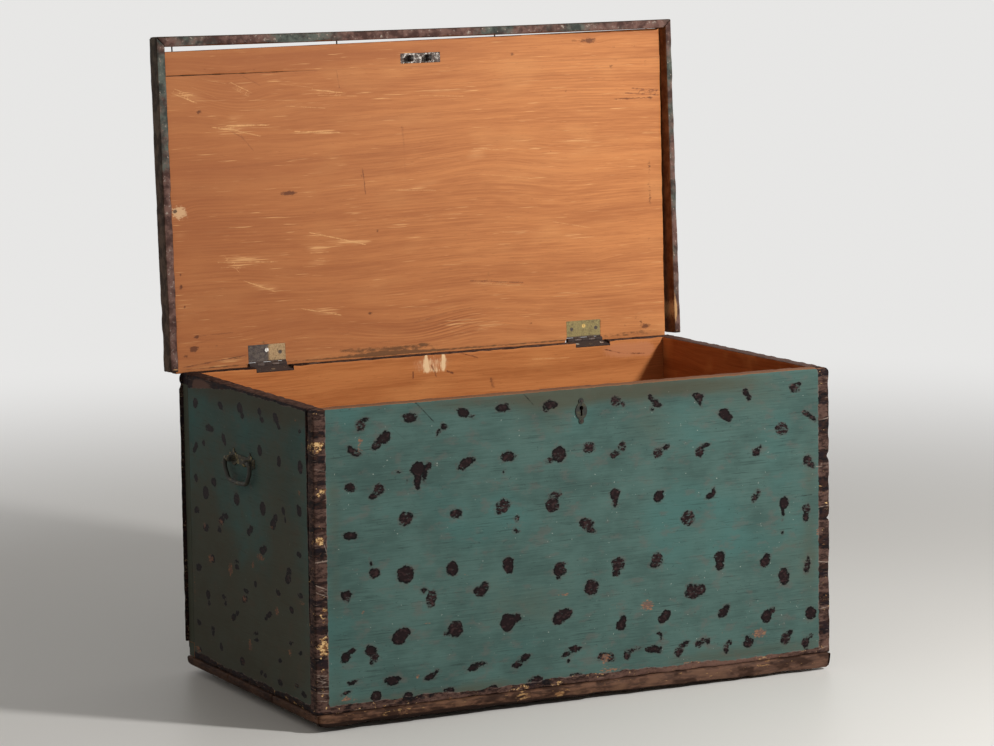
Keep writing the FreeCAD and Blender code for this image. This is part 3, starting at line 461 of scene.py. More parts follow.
# %% [markdown]
# ## Painted boards
# Three things meet on the outside of the boards: the blue-green ground with its brush streaks and
# grime, the dark dabs, and a brown border that was painted over the dovetails and along the foot.
# Rubbing has opened the paint to the wood at the arrises. Each is a mask, a ragged edge made by
# adding noise to a distance, and the masks are laid over each other as the painter laid the coats.


# %% Pine
def pine(finish, across, along, light=(0.560, 0.212, 0.069), dark=(0.395, 0.132, 0.040), seed=0.0,
         ripples=0.0):
    """Aged pine. Across is the place across the grain in mm and along the place along it: the noise
    is drawn out along the grain, so that its lumps become lines. Gives the colour and the height."""
    sweep = (finish.noise(170, (2.5, 1, 1), 1.0, seed=seed) - 0.5) * 24.0
    line = across + sweep
    flow = finish.node("ShaderNodeCombineXYZ", {}, {0: along * 0.000045, 1: line * 0.001})
    broad = finish.noise(24, detail=2.0, seed=seed + 1, at=flow)
    middle = finish.noise(6.0, detail=2.0, rough=0.55, seed=seed + 2, at=flow)
    fine = finish.noise(2.0, detail=2.0, seed=seed + 3, at=flow)
    tone = broad * 0.40 + middle * 0.32 + fine * 0.28
    # growth rings come out as regular ripples, but only here and there
    patch = finish.noise(75, (2, 1, 1), 1.0, seed=seed + 4)
    ripple = ((line + middle * 7.0) * 1.15).math("SINE") * 0.5 + 0.5
    cloud = finish.noise(60, (2.2, 1, 1), 2.0, seed=seed + 5)
    pores = finish.noise(0.9, (15, 1.4, 1.4), 1.0, seed=seed + 6)
    colour = finish.coats(
        dark, (tone.step(0.34, 0.64), light),
        (ripple.step(0.35, 1.0) * (patch.step(0.48, 0.66) * 0.22 + ripples), (0.300, 0.088, 0.026)),
        (cloud.step(0.50, 0.72) * 0.40, (0.650, 0.280, 0.095)),
        (pores.step(0.64, 0.80) * 0.35, (0.25, 0.078, 0.024)))
    return colour, fine * 0.10 + middle * 0.08 - pores.step(0.62, 0.8) * 0.05


# %% Blue-green ground
def blue_green(finish):
    """The blue-green ground: thin brushed paint, mottled, with dark hair lines and pale specks. Gives
    the colour, the brush streaks and the clouds."""
    brush = finish.noise(2.2, (22, 22, 1), 3.0, rough=0.62, seed=1)
    cloud = finish.noise(60, (1.5, 1.5, 1), 4.0, rough=0.62, seed=2)
    bright = finish.noise(130, (1.3, 1.3, 1), 2.0, seed=36)
    patch = finish.noise(26, (1.6, 1.6, 1), 3.0, seed=33)
    hair = finish.noise(1.9, (26, 26, 1), 3.0, rough=0.6, seed=3)
    spot = finish.noise(3.4, (1.5, 1.5, 1), 3.0, rough=0.7, seed=35)
    speck = finish.noise(2.4, (2.5, 2.5, 1), 3.0, rough=0.65, seed=4)
    faded = finish.noise(17, (1.8, 1.8, 1), 4.0, rough=0.6, seed=37)
    dot = finish.noise(4.4, detail=1.0, seed=38)
    paint = finish.coats(
        (0.047, 0.086, 0.077), ((brush * 0.32 + cloud * 0.68).step(0.32, 0.68), (0.075, 0.136, 0.122)),
        (bright.step(0.48, 0.70) * 0.6, (0.060, 0.148, 0.138)),
        (hair.step(0.56, 0.70) * patch.step(0.36, 0.60) * 0.55, (0.022, 0.036, 0.033)),
        (spot.step(0.62, 0.73) * patch.step(0.40, 0.58) * 0.70, (0.018, 0.026, 0.024)),
        (speck.step(0.68, 0.78) * patch.step(0.62, 0.42) * 0.45, (0.17, 0.23, 0.205)),
        (faded.step(0.52, 0.70) * 0.42, (0.112, 0.101, 0.090)),
        (dot.step(0.77, 0.82) * 0.8, (0.300, 0.350, 0.310)))
    return paint, brush, cloud


# %% Dabs, border and bare edges
def dab_coat(finish, paint, dab, worn):
    """Lays the dark dabs over the ground. The rim of a dab is thick and black, its middle thinner
    and browner, and a worn dab has opened in streaks. Gives the colour and the dabs' mask."""
    cloud = finish.noise(8, seed=7)
    outline = finish.noise(2.8, (1.3, 1.3, 1), 3.0, rough=0.62, seed=6)
    mottle = finish.noise(4.6, (1.5, 1.5, 1), 4.0, rough=0.62, seed=8)
    streak = finish.noise(3.2, (1.9, 1.9, 1), 4.0, rough=0.66, seed=10)
    ragged = dab + (outline - 0.5) * 5.2 + (cloud - 0.5) * 5.5
    core = (-ragged).step(0.6, 3.6)
    colour = finish.coats(
        (0.0030, 0.0034, 0.0036), (core, (0.0120, 0.0065, 0.0070)),
        ((mottle + worn * 0.10 + core * 0.04).step(0.58, 0.72) * 0.6, (0.048, 0.025, 0.025)),
        ((mottle + worn * 0.13).step(0.74, 0.84) * 0.6, (0.17, 0.095, 0.082)))
    holes = (streak + worn * 0.16 - core * 0.06).step(0.62, 0.70)
    mask = ragged.step(0.5, -0.5) * (1 - holes * 0.85)
    halo = (ragged + cloud * 6.0).step(6.2, 2.6) * 0.38
    return finish.coats(paint, (halo, (0.078, 0.062, 0.056)), (mask, colour)), mask


def brown_border(finish, block, seed):
    """Dark brown over the corners and the foot. Block is above 0 on the end of a tail, where the
    end grain has drunk the paint, and it has worn to a paler brown there."""
    streak = finish.noise(4.5, (2.5, 2.5, 1), 3.0, rough=0.66, seed=seed)
    patch = finish.noise(21, (1.2, 1.2, 0.8), 3.0, seed=seed + 2)
    line = finish.noise(1.9, (12, 12, 1), 3.0, seed=seed + 4)
    on_tail = (block + (patch - 0.5) * 10.0 + (streak - 0.5) * 8.0).step(-1.2, 1.2)
    worn = finish.blend(streak.step(0.38, 0.62), (0.024, 0.0125, 0.0105), (0.094, 0.053, 0.042))
    return finish.coats(
        (0.0060, 0.0050, 0.0060), (streak.step(0.36, 0.64), (0.034, 0.0160, 0.0120)),
        (patch.step(0.48, 0.62) * 0.7, (0.0120, 0.0080, 0.0110)), (on_tail, worn),
        (line.step(0.62, 0.72) * 0.5, (0.24, 0.165, 0.130)))


def ragged_border(finish, brown):
    """Above 0 on the brown border, in mm from its ragged edge."""
    return brown + (finish.noise(3.6, (2, 2, 2), 3.0, seed=11) - 0.5) * 4.4


def painted_board(name, wood_across, wood_along, dust_and_shade=(0.068, 0.059, 0.036), wood_colours=()):
    """The whole finish of a painted board, from its attributes. The grime colour is given; on the left side
    it also holds painted warm shade.
    """
    finish = Finish(name)
    ground, brown, block, grime, rub, flaking, mauve, dab, worn, dirt = finish.attributes(
        "ground brown block grime rub flaking mauve dab worn dirt")
    wood, wood_height = pine(finish, finish.axis(wood_across), finish.axis(wood_along), *wood_colours)
    paint, brush, cloud = blue_green(finish)
    paint = finish.blend((grime + (cloud - 0.5) * 1.3).step(0.1, 1.0) * 0.72, paint, dust_and_shade)
    coat, dab_mask = dab_coat(finish, paint, dab, worn)
    mottle = finish.noise(2.8, (1.7, 1.7, 1), 3.0, rough=0.65, seed=12)
    rubbed = (rub + (mottle - 0.5) * 1.6).step(0.55, 0.95)
    opened = finish.blend(mottle.step(0.48, 0.66), (0.150, 0.080, 0.063), (0.330, 0.150, 0.073))
    coat = finish.blend(rubbed * 0.75, coat, opened)
    edge = ragged_border(finish, brown)
    border = edge.step(-0.4, 0.4)
    flake = finish.noise(6.0, (1.5, 1.5, 1), 4.0, rough=0.62, seed=17)
    lost = (flake + flaking * 0.25).step(0.64, 0.72)
    raw = finish.blend(finish.noise(3.0, (1.5, 1.5, 1), 3.0, seed=9).step(0.42, 0.60),
                       (0.17, 0.078, 0.032), (0.66, 0.43, 0.20))
    pinkish = (mauve + (mottle - 0.5) * 0.5).step(0.3, 0.7) * 0.85
    border_colour = finish.coats(brown_border(finish, block, 13), (lost, raw),
                                 (pinkish, (0.150, 0.082, 0.062)))
    crack = (0.0100, 0.0090, 0.0085)
    coat = draw_lines(finish, coat, crack, (0.24, 0.20, 0.17))
    border_colour = draw_lines(finish, border_colour, crack, (0.26, 0.20, 0.165))
    # a pale line along the border's edge: painted highlight where the ridge of paint catches the light
    lip_highlight = (1 - (abs(edge) * 0.8).step(0.3, 1.0)) * finish.noise(12, seed=18).step(0.45, 0.6)
    coat = finish.coats(coat, (border, border_colour), (lip_highlight * 0.55, (0.17, 0.125, 0.110)))
    # bare wood where the paint stops at an arris
    end = ground + (finish.noise(4, (2, 2, 1), 3.0, seed=19) - 0.5) * 3.0
    painted = end.step(0.2, 0.9)
    colour = finish.coats(wood, (dirt, (0.135, 0.080, 0.056)),
                          (ground.step(-3.0, 0.5) * 0.6, (0.26, 0.125, 0.062)), (painted, coat))
    relief = (dab_mask * 0.10 + border * 0.14 - lost * border * 0.22) * painted + brush * 0.12 * painted \
        + wood_height * (1 - painted) + painted * 0.12
    roughness = 0.66 - painted * 0.06 + mottle * 0.12 - dab_mask * painted * 0.10
    return finish.done(Base_Color=colour, Roughness=roughness, Specular_IOR_Level=0.07,
                       Normal=finish.bump(relief, 0.9))


# %% [markdown]
# ## The front board
# The front is one wide board. Its two ends are cut into dovetails: seen from the front, the tails of
# the side boards lie between its pins. The keyhole goes through it, so the grid has a small window
# there, lined with wood, which the keyhole plate covers.

# %% Sizes that the boards share
depth, thick = 530.0, 25.0
half_length, half_depth = 465.0, depth / 2
foot, top = 28.0, 508.0
pitch, tail = 48.0, 25.0


def dovetail_block(up, inward=0.0):
    """Above 0 on the end of a tail and below 0 on a pin, in mm from the joint line. The tail narrows
    by one in seven with the distance from the face."""
    place = np.mod(up - foot, pitch) - pitch / 2
    return tail / 2 - inward / 7.0 - np.abs(place)


def soft_spots(across, up, spots):
    """Sum of soft ellipses, each 1 in its middle: (across, up, half width, half height, strength)."""
    total = np.zeros(len(across))
    for x, z, half_width, half_height, strength in spots:
        total += strength * np.exp(-((across - x) / half_width) ** 2 - ((up - z) / half_height) ** 2)
    return total


# %% Rubbing, grime and flaking on the front
front_rub = [
    (122, 143, 13, 10, 1.3), (333, 75, 16, 9, 1.3), (-384, 455, 6, 10, 1.0), (-386, 440, 8, 5, .8),
    (-30, 176, 15, 4, .9), (-385, 183, 5, 5, .9), (-364, 182, 5, 4, .8), (-420, 181, 20, 3, .6),
    (-293, 72, 4, 4, 1.2), (-275, 156, 8, 3, .9), (-132, 212, 6, 9, .6), (-110, 206, 8, 3, .5),
    (44, 66, 11, 7, 1.15), (366, 137, 6, 4, .8), (260, 85, 8, 3, .6), (-205, 226, 7, 4, .7),
    (-230, 225, 12, 4, .5), (444, 234, 4, 9, 1.3), (62, 146, 16, 4, .6), (52, 44, 30, 5, .9),
    (42, 55, 8, 5, .7), (-10, 42, 10, 5, .6), (200, 40, 28, 3.5, .9), (-415, 52, 10, 6, .8),
    (-360, 75, 4, 7, .6), (-405, 48, 30, 3, .6), (-250, 52, 20, 3, .5), (-440, 100, 3, 60, .4),
    (-440, 380, 3, 60, .35),
]
front_grime = [
    (20, 500, 150, 20, 1.1), (200, 495, 120, 16, .8), (-60, 470, 60, 30, .5), (120, 440, 60, 40, .4),
    (-220, 500, 120, 14, .5), (330, 470, 120, 30, .35), (380, 200, 60, 120, .3), (-100, 165, 90, 40, .4),
    (-250, 40, 220, 14, .7), (300, 45, 160, 14, .6), (-430, 250, 14, 220, .5), (430, 260, 16, 220, .4),
]
front_flaking = [
    (-455, 452, 8, 9, 1.3), (-452, 379, 8, 7, 1.3), (-456, 303, 9, 6, 1.2), (-455, 186, 9, 9, .7),
    (-452, 136, 10, 14, 1.2), (-455, 60, 12, 20, .3), (-462, 452, 5, 9, .7), (460, 382, 10, 8, .3),
    (457, 140, 10, 9, .2), (457, 48, 10, 12, .3), (-350, 32, 34, 4, .35), (-250, 30, 60, 3, .2),
    (200, 32, 26, 4, .5), (-113, 32, 14, 4, .9), (-40, 31, 12, 3, .8), (338, 32, 12, 5, .8),
]

dark_pins = [(-455, z, 40, half, 14) for z, half in (
    (505, 3), (470, 5), (431, 6), (394, 3), (360, 8), (320, 4), (285, 9), (236, 4), (206, 6), (163, 7),
    (109, 9), (70, 4), (30, 4))]

front_lines = [
    (-289, 508, -276, 494, 1.3, 1), (-276, 494, -260, 477, 1.0, .9), (-96, 503, -86, 492, .9, .8),
    (404, 296, 428, 297, .8, .8), (450, 421, 468, 424, .9, -1), (444, 343, 467, 341, .9, -1),
    (448, 348, 462, 347, .7, -.8), (448, 275, 468, 277, .9, -1), (447, 183, 468, 180, .9, -1),
    (448, 104, 468, 106, .9, -.9), (448, 36, 468, 40, .9, -.6), (-463, 270, -447, 271, 1.2, -1),
    (-464, 234, -450, 228, .8, -.9), (-462, 222, -448, 216, .7, -.8), (-450, 300, -446, 288, .7, -.7),
    (-463, 92, -449, 90, .7, -.8), (-463, 84, -450, 80, .7, -.9), (-463, 74, -449, 73, .7, -.7),
    (-460, 64, -448, 62, .7, -.8), (-463, 52, -450, 50, .7, -.8), (-462, 416, -449, 412, .7, -.6),
    (300, 405, 312, 404, .7, .5), (-145, 360, -60, 362, .5, .5), (80, 350, 190, 346, .5, .4),
    (-250, 300, -170, 300, .5, .4), (-330, 470, -310, 452, .5, .4), (250, 330, 330, 328, .5, .4),
]

# %% Front board
front_low, front_high = (-half_length, -half_depth, foot), (half_length, -half_depth + thick, top)
# the keyhole's window: its lower left and its upper right corner, across and up
window = np.array([(0.6, 462.5), (7.4, 479.0)])
points, faces, rest = rounded_board(front_low, front_high, (3.6, 6.0, 3.6), 1.6,
                                    (window[:, 0], (), window[:, 1]))
middles = rest[faces].mean(axis=1)[:, ::2]
faces = faces[~np.all((middles > window[0]) & (middles < window[1]), axis=1)]
x, y, z = rest.T
points = knocked(points, front_low, front_high, reach=6, depth=2.0, size=16, seed=1)
# the right end has moved out a little, and the left end leans
near_end = np.clip((np.abs(x) - 380) / 85, 0, 1)
points[:, 0] += near_end * np.where(x > 0, 4.5, 2.0 * (z - 268) / 240 - 0.5)
# its upper corners are rounded, and two chips are out of the right end
for side, radius in ((-1, 5.0), (1, 10.0)):
    fall = np.clip((z - (top - radius)) / radius, 0, 1)
    inward = radius * (1 - np.sqrt(1 - fall ** 2))
    points[:, 0] -= side * (side * x > 380) * (side * x / half_length) ** 8 * inward
for height, size in ((360, 5), (256, 3)):
    points[:, 0] -= 4.5 * np.exp(-((z - height) / size) ** 2) * np.clip((x - 455) / 10, 0, 1)
nearest, worn = dab_signals(x, z, front_dabs)
line, line_strength = line_signals(x, z, front_lines)
on_face, from_face = y < -half_depth + 0.1, y + half_depth
front_ends = 20.5 - (half_length - np.abs(x))
foot_line = 8 + 5 * lumps(rest, 55, 5) + 4 * lumps(rest, 13, 6) - (z - foot)
foot_line += soft_spots(x, z, [(310, 30, 130, 14, -5), (60, 30, 60, 14, -2), (-390, 32, 60, 14, 4)])
tops, inner = z > top - 0.1, (from_face > thick - 0.1) & (np.abs(x) < half_length - thick)
right_tails = dovetail_block(z + 4, np.where(x > half_length - 1, from_face, 0.0))
left_tails = 6 - soft_spots(x, z, dark_pins)
foot_blocks = 4 + 8 * np.clip((x + 60) / 60, 0, 1) - 9 * lumps(rest, 38, 13)
front_signals = {
    "dab": np.where(on_face, nearest, 12.0), "worn": worn,
    "line": line, "line_strength": line_strength * on_face,
    "ground": np.select([inner, tops & (np.abs(x) < 452), on_face],
                        [-30.0, -2.0 - from_face, top - z], 60.0),
    "brown": np.where(tops, 6.0, np.maximum(front_ends, foot_line)),
    "block": np.where(front_ends < -5, foot_blocks, np.where(x > 0, right_tails, left_tails)),
    "flaking": soft_spots(x, z, front_flaking), "grime": soft_spots(x, z, front_grime),
    "rub": soft_spots(x, z, front_rub), "dirt": 0.8 * tops,
    "mauve": soft_spots(x, z, [(455, 505, 14, 8, .45), (458, 430, 12, 10, .42), (458, 384, 12, 10, .42),
                               (458, 240, 12, 10, .32), (458, 140, 12, 10, .36), (458, 48, 12, 16, .42),
                               (250, 32, 260, 14, .66), (-250, 30, 260, 9, .42)]),
}
painted_front = painted_board("painted_boards", "Z", "X")
piece("front_board_painted", points, faces, painted_front, "carcass", ["front_board"],
      front_signals)

# %% Lining of the keyhole
ring = [(window[a, 0], window[b, 1]) for a, b in ((0, 0), (1, 0), (1, 1), (0, 1))]
lining = np.array([(x, y, z) for y in (front_low[1] + 0.4, front_high[1] - 0.4) for x, z in ring])
lining_faces = np.array([(k, k + 4, (k + 1) % 4 + 4, (k + 1) % 4) for k in range(4)])
# the lining is near black: painted shade inside the keyhole
keyhole_shade = Finish("keyhole_wood")
keyhole_shade.done(Base_Color=keyhole_shade.blend(keyhole_shade.noise(2), (0.02, 0.012, 0.008), (0.05, 0.028, 0.016)), Roughness=0.8)
piece("keyhole_lining", lining, lining_faces, keyhole_shade.material, "carcass")

# %% [markdown]
# ## The side boards
# The side boards run from the back of the front board to the back planks, with the same paint. Their
# top edges were painted brown, and at the back of the left one a patch has worn to a pinkish brown.

# %% Left and right boards
side_rub = [
    (-205, 486, 16, 5, .6), (-212, 198, 20, 5, .7), (-50, 245, 22, 7, .9), (20, 166, 10, 6, .9),
    (158, 210, 12, 7, 1.1), (-118, 190, 16, 6, .4), (110, 278, 14, 6, .9), (30, 60, 12, 8, .5),
    (222, 46, 16, 8, .8), (-100, 300, 18, 5, .6), (98, 378, 14, 4, .6), (70, 120, 18, 8, .5),
    (230, 150, 8, 60, .5), (-60, 120, 16, 30, .35), (-180, 60, 30, 14, .4), (100, 30, 80, 8, .6),
    (180, 262, 6, 6, 1.1), (74, 205, 10, 14, 1.0), (-20, 228, 7, 9, .9), (-112, 168, 8, 10, 1.0),
    (-160, 110, 8, 8, .9), (0, 92, 9, 14, .9), (-14, 470, 5, 8, .6), (-208, 372, 14, 6, .7),
]
side_grime = [
    (60, 420, 110, 60, .15), (180, 200, 100, 160, .8), (0, 110, 260, 110, 1.1), (-150, 300, 80, 180, .5),
    (0, 495, 250, 20, .8),
]
for name, side, dabs in (("left", -1, left_dabs), ("right", 1, right_dabs)):
    left, right = sorted((side * half_length, side * (half_length - thick)))
    low, high = (left, -half_depth + thick, foot), (right, half_depth - thick, top)
    points, faces, rest = rounded_board(low, high, (5.0, 3.8, 3.8), 1.4)
    points = knocked(points, (low[0], -depth, low[2]), (high[0], depth, high[2]), 6, 2.0, 16, 3 + side)
    x, y, z = rest.T
    outward = half_length - side * x
    nearest, worn = dab_signals(y, z, dabs)
    foot_line = 6 + 6 * lumps(rest, 50, 5) + 4 * lumps(rest, 12, 6) - (z - foot)
    front_strip = 0.5 + 3 * lumps(rest, 18, 9) - (y + half_depth - thick)
    top_strip = 3 + 18 * np.clip((y - 60) / 170, 0, 1) + 4 * lumps(rest, 30, 4) - (top - z)
    tops = z > top - 0.1
    # the left side's grime is browner and darker than the right's: grime, with painted warm shade, as the
    # left side lies in shade
    dust_and_shade = (0.070, 0.050, 0.029) if side < 0 else (0.068, 0.059, 0.036)
    # the side boards' bare pine is darker than elsewhere: painted shade, as the insides of the side walls
    # lie in shade
    side_finish = painted_board(name + "_board_paint", "Z", "Y", dust_and_shade,
                                ((0.44, 0.150, 0.045), (0.30, 0.092, 0.026)))
    node = name + "_board"
    piece(node + "_painted", points, faces, side_finish, "carcass", [node], {
        "dab": np.where(outward < 0.1, nearest, 12.0), "worn": worn * 0.6,
        "ground": np.where((outward > thick - 0.1) & ~tops, -30.0, 60.0),
        "brown": np.where(tops, 6.0, np.max([foot_line, front_strip, top_strip], axis=0)),
        "block": np.where(tops, 8.0 if side > 0 else 2.0 - y / 60, -20.0),
        "grime": soft_spots(y, z, side_grime) + 0.32, "rub": 1.2 * soft_spots(y, z, side_rub),
        "flaking": soft_spots(y, z, [(-150, 30, 60, 4, .5)]) - 0.8 * (top - z < 20),
        "mauve": soft_spots(y, z, [(175, 494, 38, 12, 1.1), (205, 488, 14, 12, .7)]) * (outward < 3)
        + 0.5 * (tops & (side > 0)), "dirt": np.zeros(len(x))})

# %% [markdown]
# ## Back planks
# The back is a wide plank with a narrow one under it, nailed on from behind. At the left only its
# rearmost edge stands proud of the side. The hinge leaves are let into its top edge on a slope: the
# grid has lines 0.1 mm apart at both ends of a leaf, and the points between them sink to the slope.

# %% Inside marks of the back
back_pale = [
    (-25, 504, 1.8, 7, 1.4), (-25, 495, 2.6, 7, 1.5), (-24, 486, 3.4, 6, 1.5), (8, 504, 2.6, 6, 1.5),
    (8, 495, 2.8, 7, 1.5), (8, 486, 2.6, 6, 1.4), (-16, 493, 38, 12, .62), (-12, 480, 26, 5, .55),
]
back_lines = [
    (328, 492, 358, 484, 1.2, .9), (358, 484, 400, 481, 1.0, .9), (38, 508, 69, 498, 1.4, .9),
    (-50, 478, -50, 472, 1.8, .8), (-14, 488, -12, 483, 1.8, .8), (-9, 478, -7, 472, 1.8, .9),
    (18, 476, 23, 474, 1.8, .8), (100, 454, 102, 444, 4.0, 1.0), (-200, 470, -120, 468, 1.0, .3),
    (150, 474, 260, 470, 1.0, .3), (180, 486, 250, 484, 1.2, -.4),
]
back_pink = [
    (-16, 492, 46, 18, .6), (360, 490, 46, 16, .8), (408, 488, 18, 14, .6), (-380, 480, 60, 18, .35),
]


# %% Back planks
def back_finish():
    """Paint outside and bare wood inside, with the marks of the back."""
    finish = Finish("back_planks")
    x, z = finish.axis("X"), finish.axis("Z")
    pink, pale, brown, block, flaking, inside = finish.attributes("pink pale brown block flaking inside")
    wood, height = pine(finish, z, x, seed=21)
    clean = finish.noise(2.2, (1, 1, 4), 3.0, rough=0.6, seed=23)
    wood = finish.coats(wood, ((pink + (clean - 0.5) * 0.4).step(0.25, 0.6) * 0.55, (0.58, 0.245, 0.125)),
                        ((pale + (clean - 0.5) * 1.3).step(0.35, 0.95) * 0.9, (0.92, 0.66, 0.38)))
    wood = draw_lines(finish, wood, (0.150, 0.050, 0.026), (0.880, 0.530, 0.240))
    paint, brush = blue_green(finish)[:2]
    flake = finish.noise(3.6, (1, 1, 0.6), 4.0, rough=0.7, seed=17)
    border = finish.blend((flake + flaking * 0.12).step(0.66, 0.71), brown_border(finish, block, 31),
                          (0.48, 0.36, 0.20))
    # grime over the outside paint, heavier on the left end, where it is also painted warm shade like that
    # of the left side
    paint = finish.coats(paint, (x.step(-464.0, -465.0) * 0.42 + 0.4, (0.064, 0.056, 0.035)),
                         (ragged_border(finish, brown).step(-0.4, 0.4), border))
    inside = inside.step(0.4, 0.6)
    return finish.done(Base_Color=finish.blend(inside, paint, wood), Roughness=0.66,
                       Specular_IOR_Level=0.07, Normal=finish.bump(height * inside + brush * 0.1, 0.8))


back_material = back_finish()
leaf_ends = [(-340.0, -272.0), (266.0, 334.0)]


def sharp_lines(spans):
    """Two grid lines, 0.1 mm apart, at both ends of each span."""
    return np.array([(a, a - 0.1, b, b + 0.1) for a, b in spans]).ravel()


# the back's inner face, the joint between its planks, and its left end, which stands proud of the
# side from proud_y backwards
inner_y, joint_z, proud_x, proud_y = half_depth - thick, 53.0, -471.0, 262.0
for name, low, high in (
        ("back_upper_board", (proud_x, inner_y, joint_z), (half_length, half_depth, top)),
        ("back_lower_board", (-half_length, inner_y, foot), (half_length, half_depth, joint_z))):
    points, faces, rest = rounded_board(low, high, (3.6, 6.0, 4.5), 1.4,
                                        (sharp_lines(leaf_ends), (proud_y - 0.4, proud_y), ()))
    points = knocked(points, low, high, reach=6, depth=2.0, size=16, seed=21)
    x, y, z = rest.T
    flush = (x < 1 - half_length) & (y < proud_y - 0.1)
    points[flush, 0] = -465.2 + 0.6 * lumps(rest, 20, 4)[flush]
    for start, stop in leaf_ends:
        slope = 500.18 + (np.clip(points[:, 1], inner_y, half_depth) - inner_y) * 0.1764
        seat = (x > start - 0.01) & (x < stop + 0.01) & (points[:, 2] > slope)
        points[seat, 2] = slope[seat]
    # its upper left corner is rounded, with a notch under it
    up = points[:, 2]
    corner = np.clip((up - 498) / 10, 0, 1) ** 2 * 5 + 3.5 * np.exp(-((up - 487) / 4) ** 2)
    points[:, 0] += corner * (x < 1 - half_length) * np.clip((y - proud_y + 0.5) / 0.5, 0, 1)
    outer = (y > half_depth - 0.1) | (np.abs(x) > half_length - 0.1)
    side_end, tops = x < 0.1 - half_length, z > top - 0.1
    end_brown = np.maximum(y - 259.5, 19 - (top - z))
    foot_line = 4 * lumps(rest, 40, 3) + 3 * lumps(rest, 12, 4) + 4 - (z - foot)
    rear_brown = np.maximum(np.abs(x) - 450, foot_line)
    line, line_strength = line_signals(x, z, back_lines)
    piece(name + "_worn", points, faces, back_material, "carcass", [name], {
        "inside": ~outer & ~tops, "line": line, "line_strength": line_strength,
        "pale": soft_spots(x, z, back_pale), "pink": soft_spots(x, z, back_pink),
        "brown": np.where(tops, 6.0, np.where(side_end, end_brown, rear_brown)),
        "block": np.where(tops, 4.0 * (x > -200) - 2, -20.0),
        "flaking": np.where(side_end, 1.2 * lumps(rest, 25, 6) - 0.3, 0.0)})

# %% [markdown]
# ## The bottom
# The bottom is three planks that stand out a little past the walls. The front one has lost much of its
# lower arris, which is ragged, and its front edge hangs lower, by more to the right.
# Its lower front edge is painted near black, as the shadow in the gap under the chest.


# %% Finish of the bottom planks
def foot_finish():
    """Worn brown paint over pine, chipped, dark underneath, and painted shadow along the lower front edge.
    """
    finish = Finish("bottom_planks")
    x, y = finish.axis("X"), finish.axis("Y")
    chip, under, inside = finish.attributes("chip under inside")
    wood, height = pine(finish, y, x, seed=41)
    streak = finish.noise(4.0, (5, 4, 1), 3.0, rough=0.66, seed=43)
    patch = finish.noise(30, (2, 2, 1), 3.0, rough=0.6, seed=44)
    flake = finish.noise(4.2, (3, 2, 0.8), 4.0, rough=0.7, seed=45)
    lost = (flake + chip * 0.12).step(0.64, 0.70)
    raw = finish.blend(streak.step(0.4, 0.6), (0.20, 0.095, 0.042), (0.42, 0.25, 0.11))
    colour = finish.coats(
        (0.038, 0.0190, 0.0125), (streak.step(0.35, 0.66), (0.135, 0.067, 0.041)),
        (patch.step(0.50, 0.64) * 0.7, (0.150, 0.078, 0.044)),
        (x.step(-120, 250) * 0.38, (0.122, 0.070, 0.053)),
        (patch.step(0.48, 0.38) * 0.85, (0.026, 0.0125, 0.0085)),
        (y.step(-240, -180) * 0.55, (0.026, 0.0125, 0.0090)), (lost * 0.85, raw),
        (inside.step(0.4, 0.6), wood), (inside.step(-0.4, -0.6), (0.110, 0.066, 0.038)),
        # near black along the lower front edge: painted shadow of the gap under the chest
        ((under + (streak - 0.5) * 5.0).step(-0.8, 0.8) * 0.92, (0.0090, 0.0045, 0.0035)))
    return finish.done(Base_Color=colour, Roughness=0.70 - flake * 0.1, Specular_IOR_Level=0.07,
                       Normal=finish.bump(height + streak * 0.2 - lost * 0.2, 0.9))


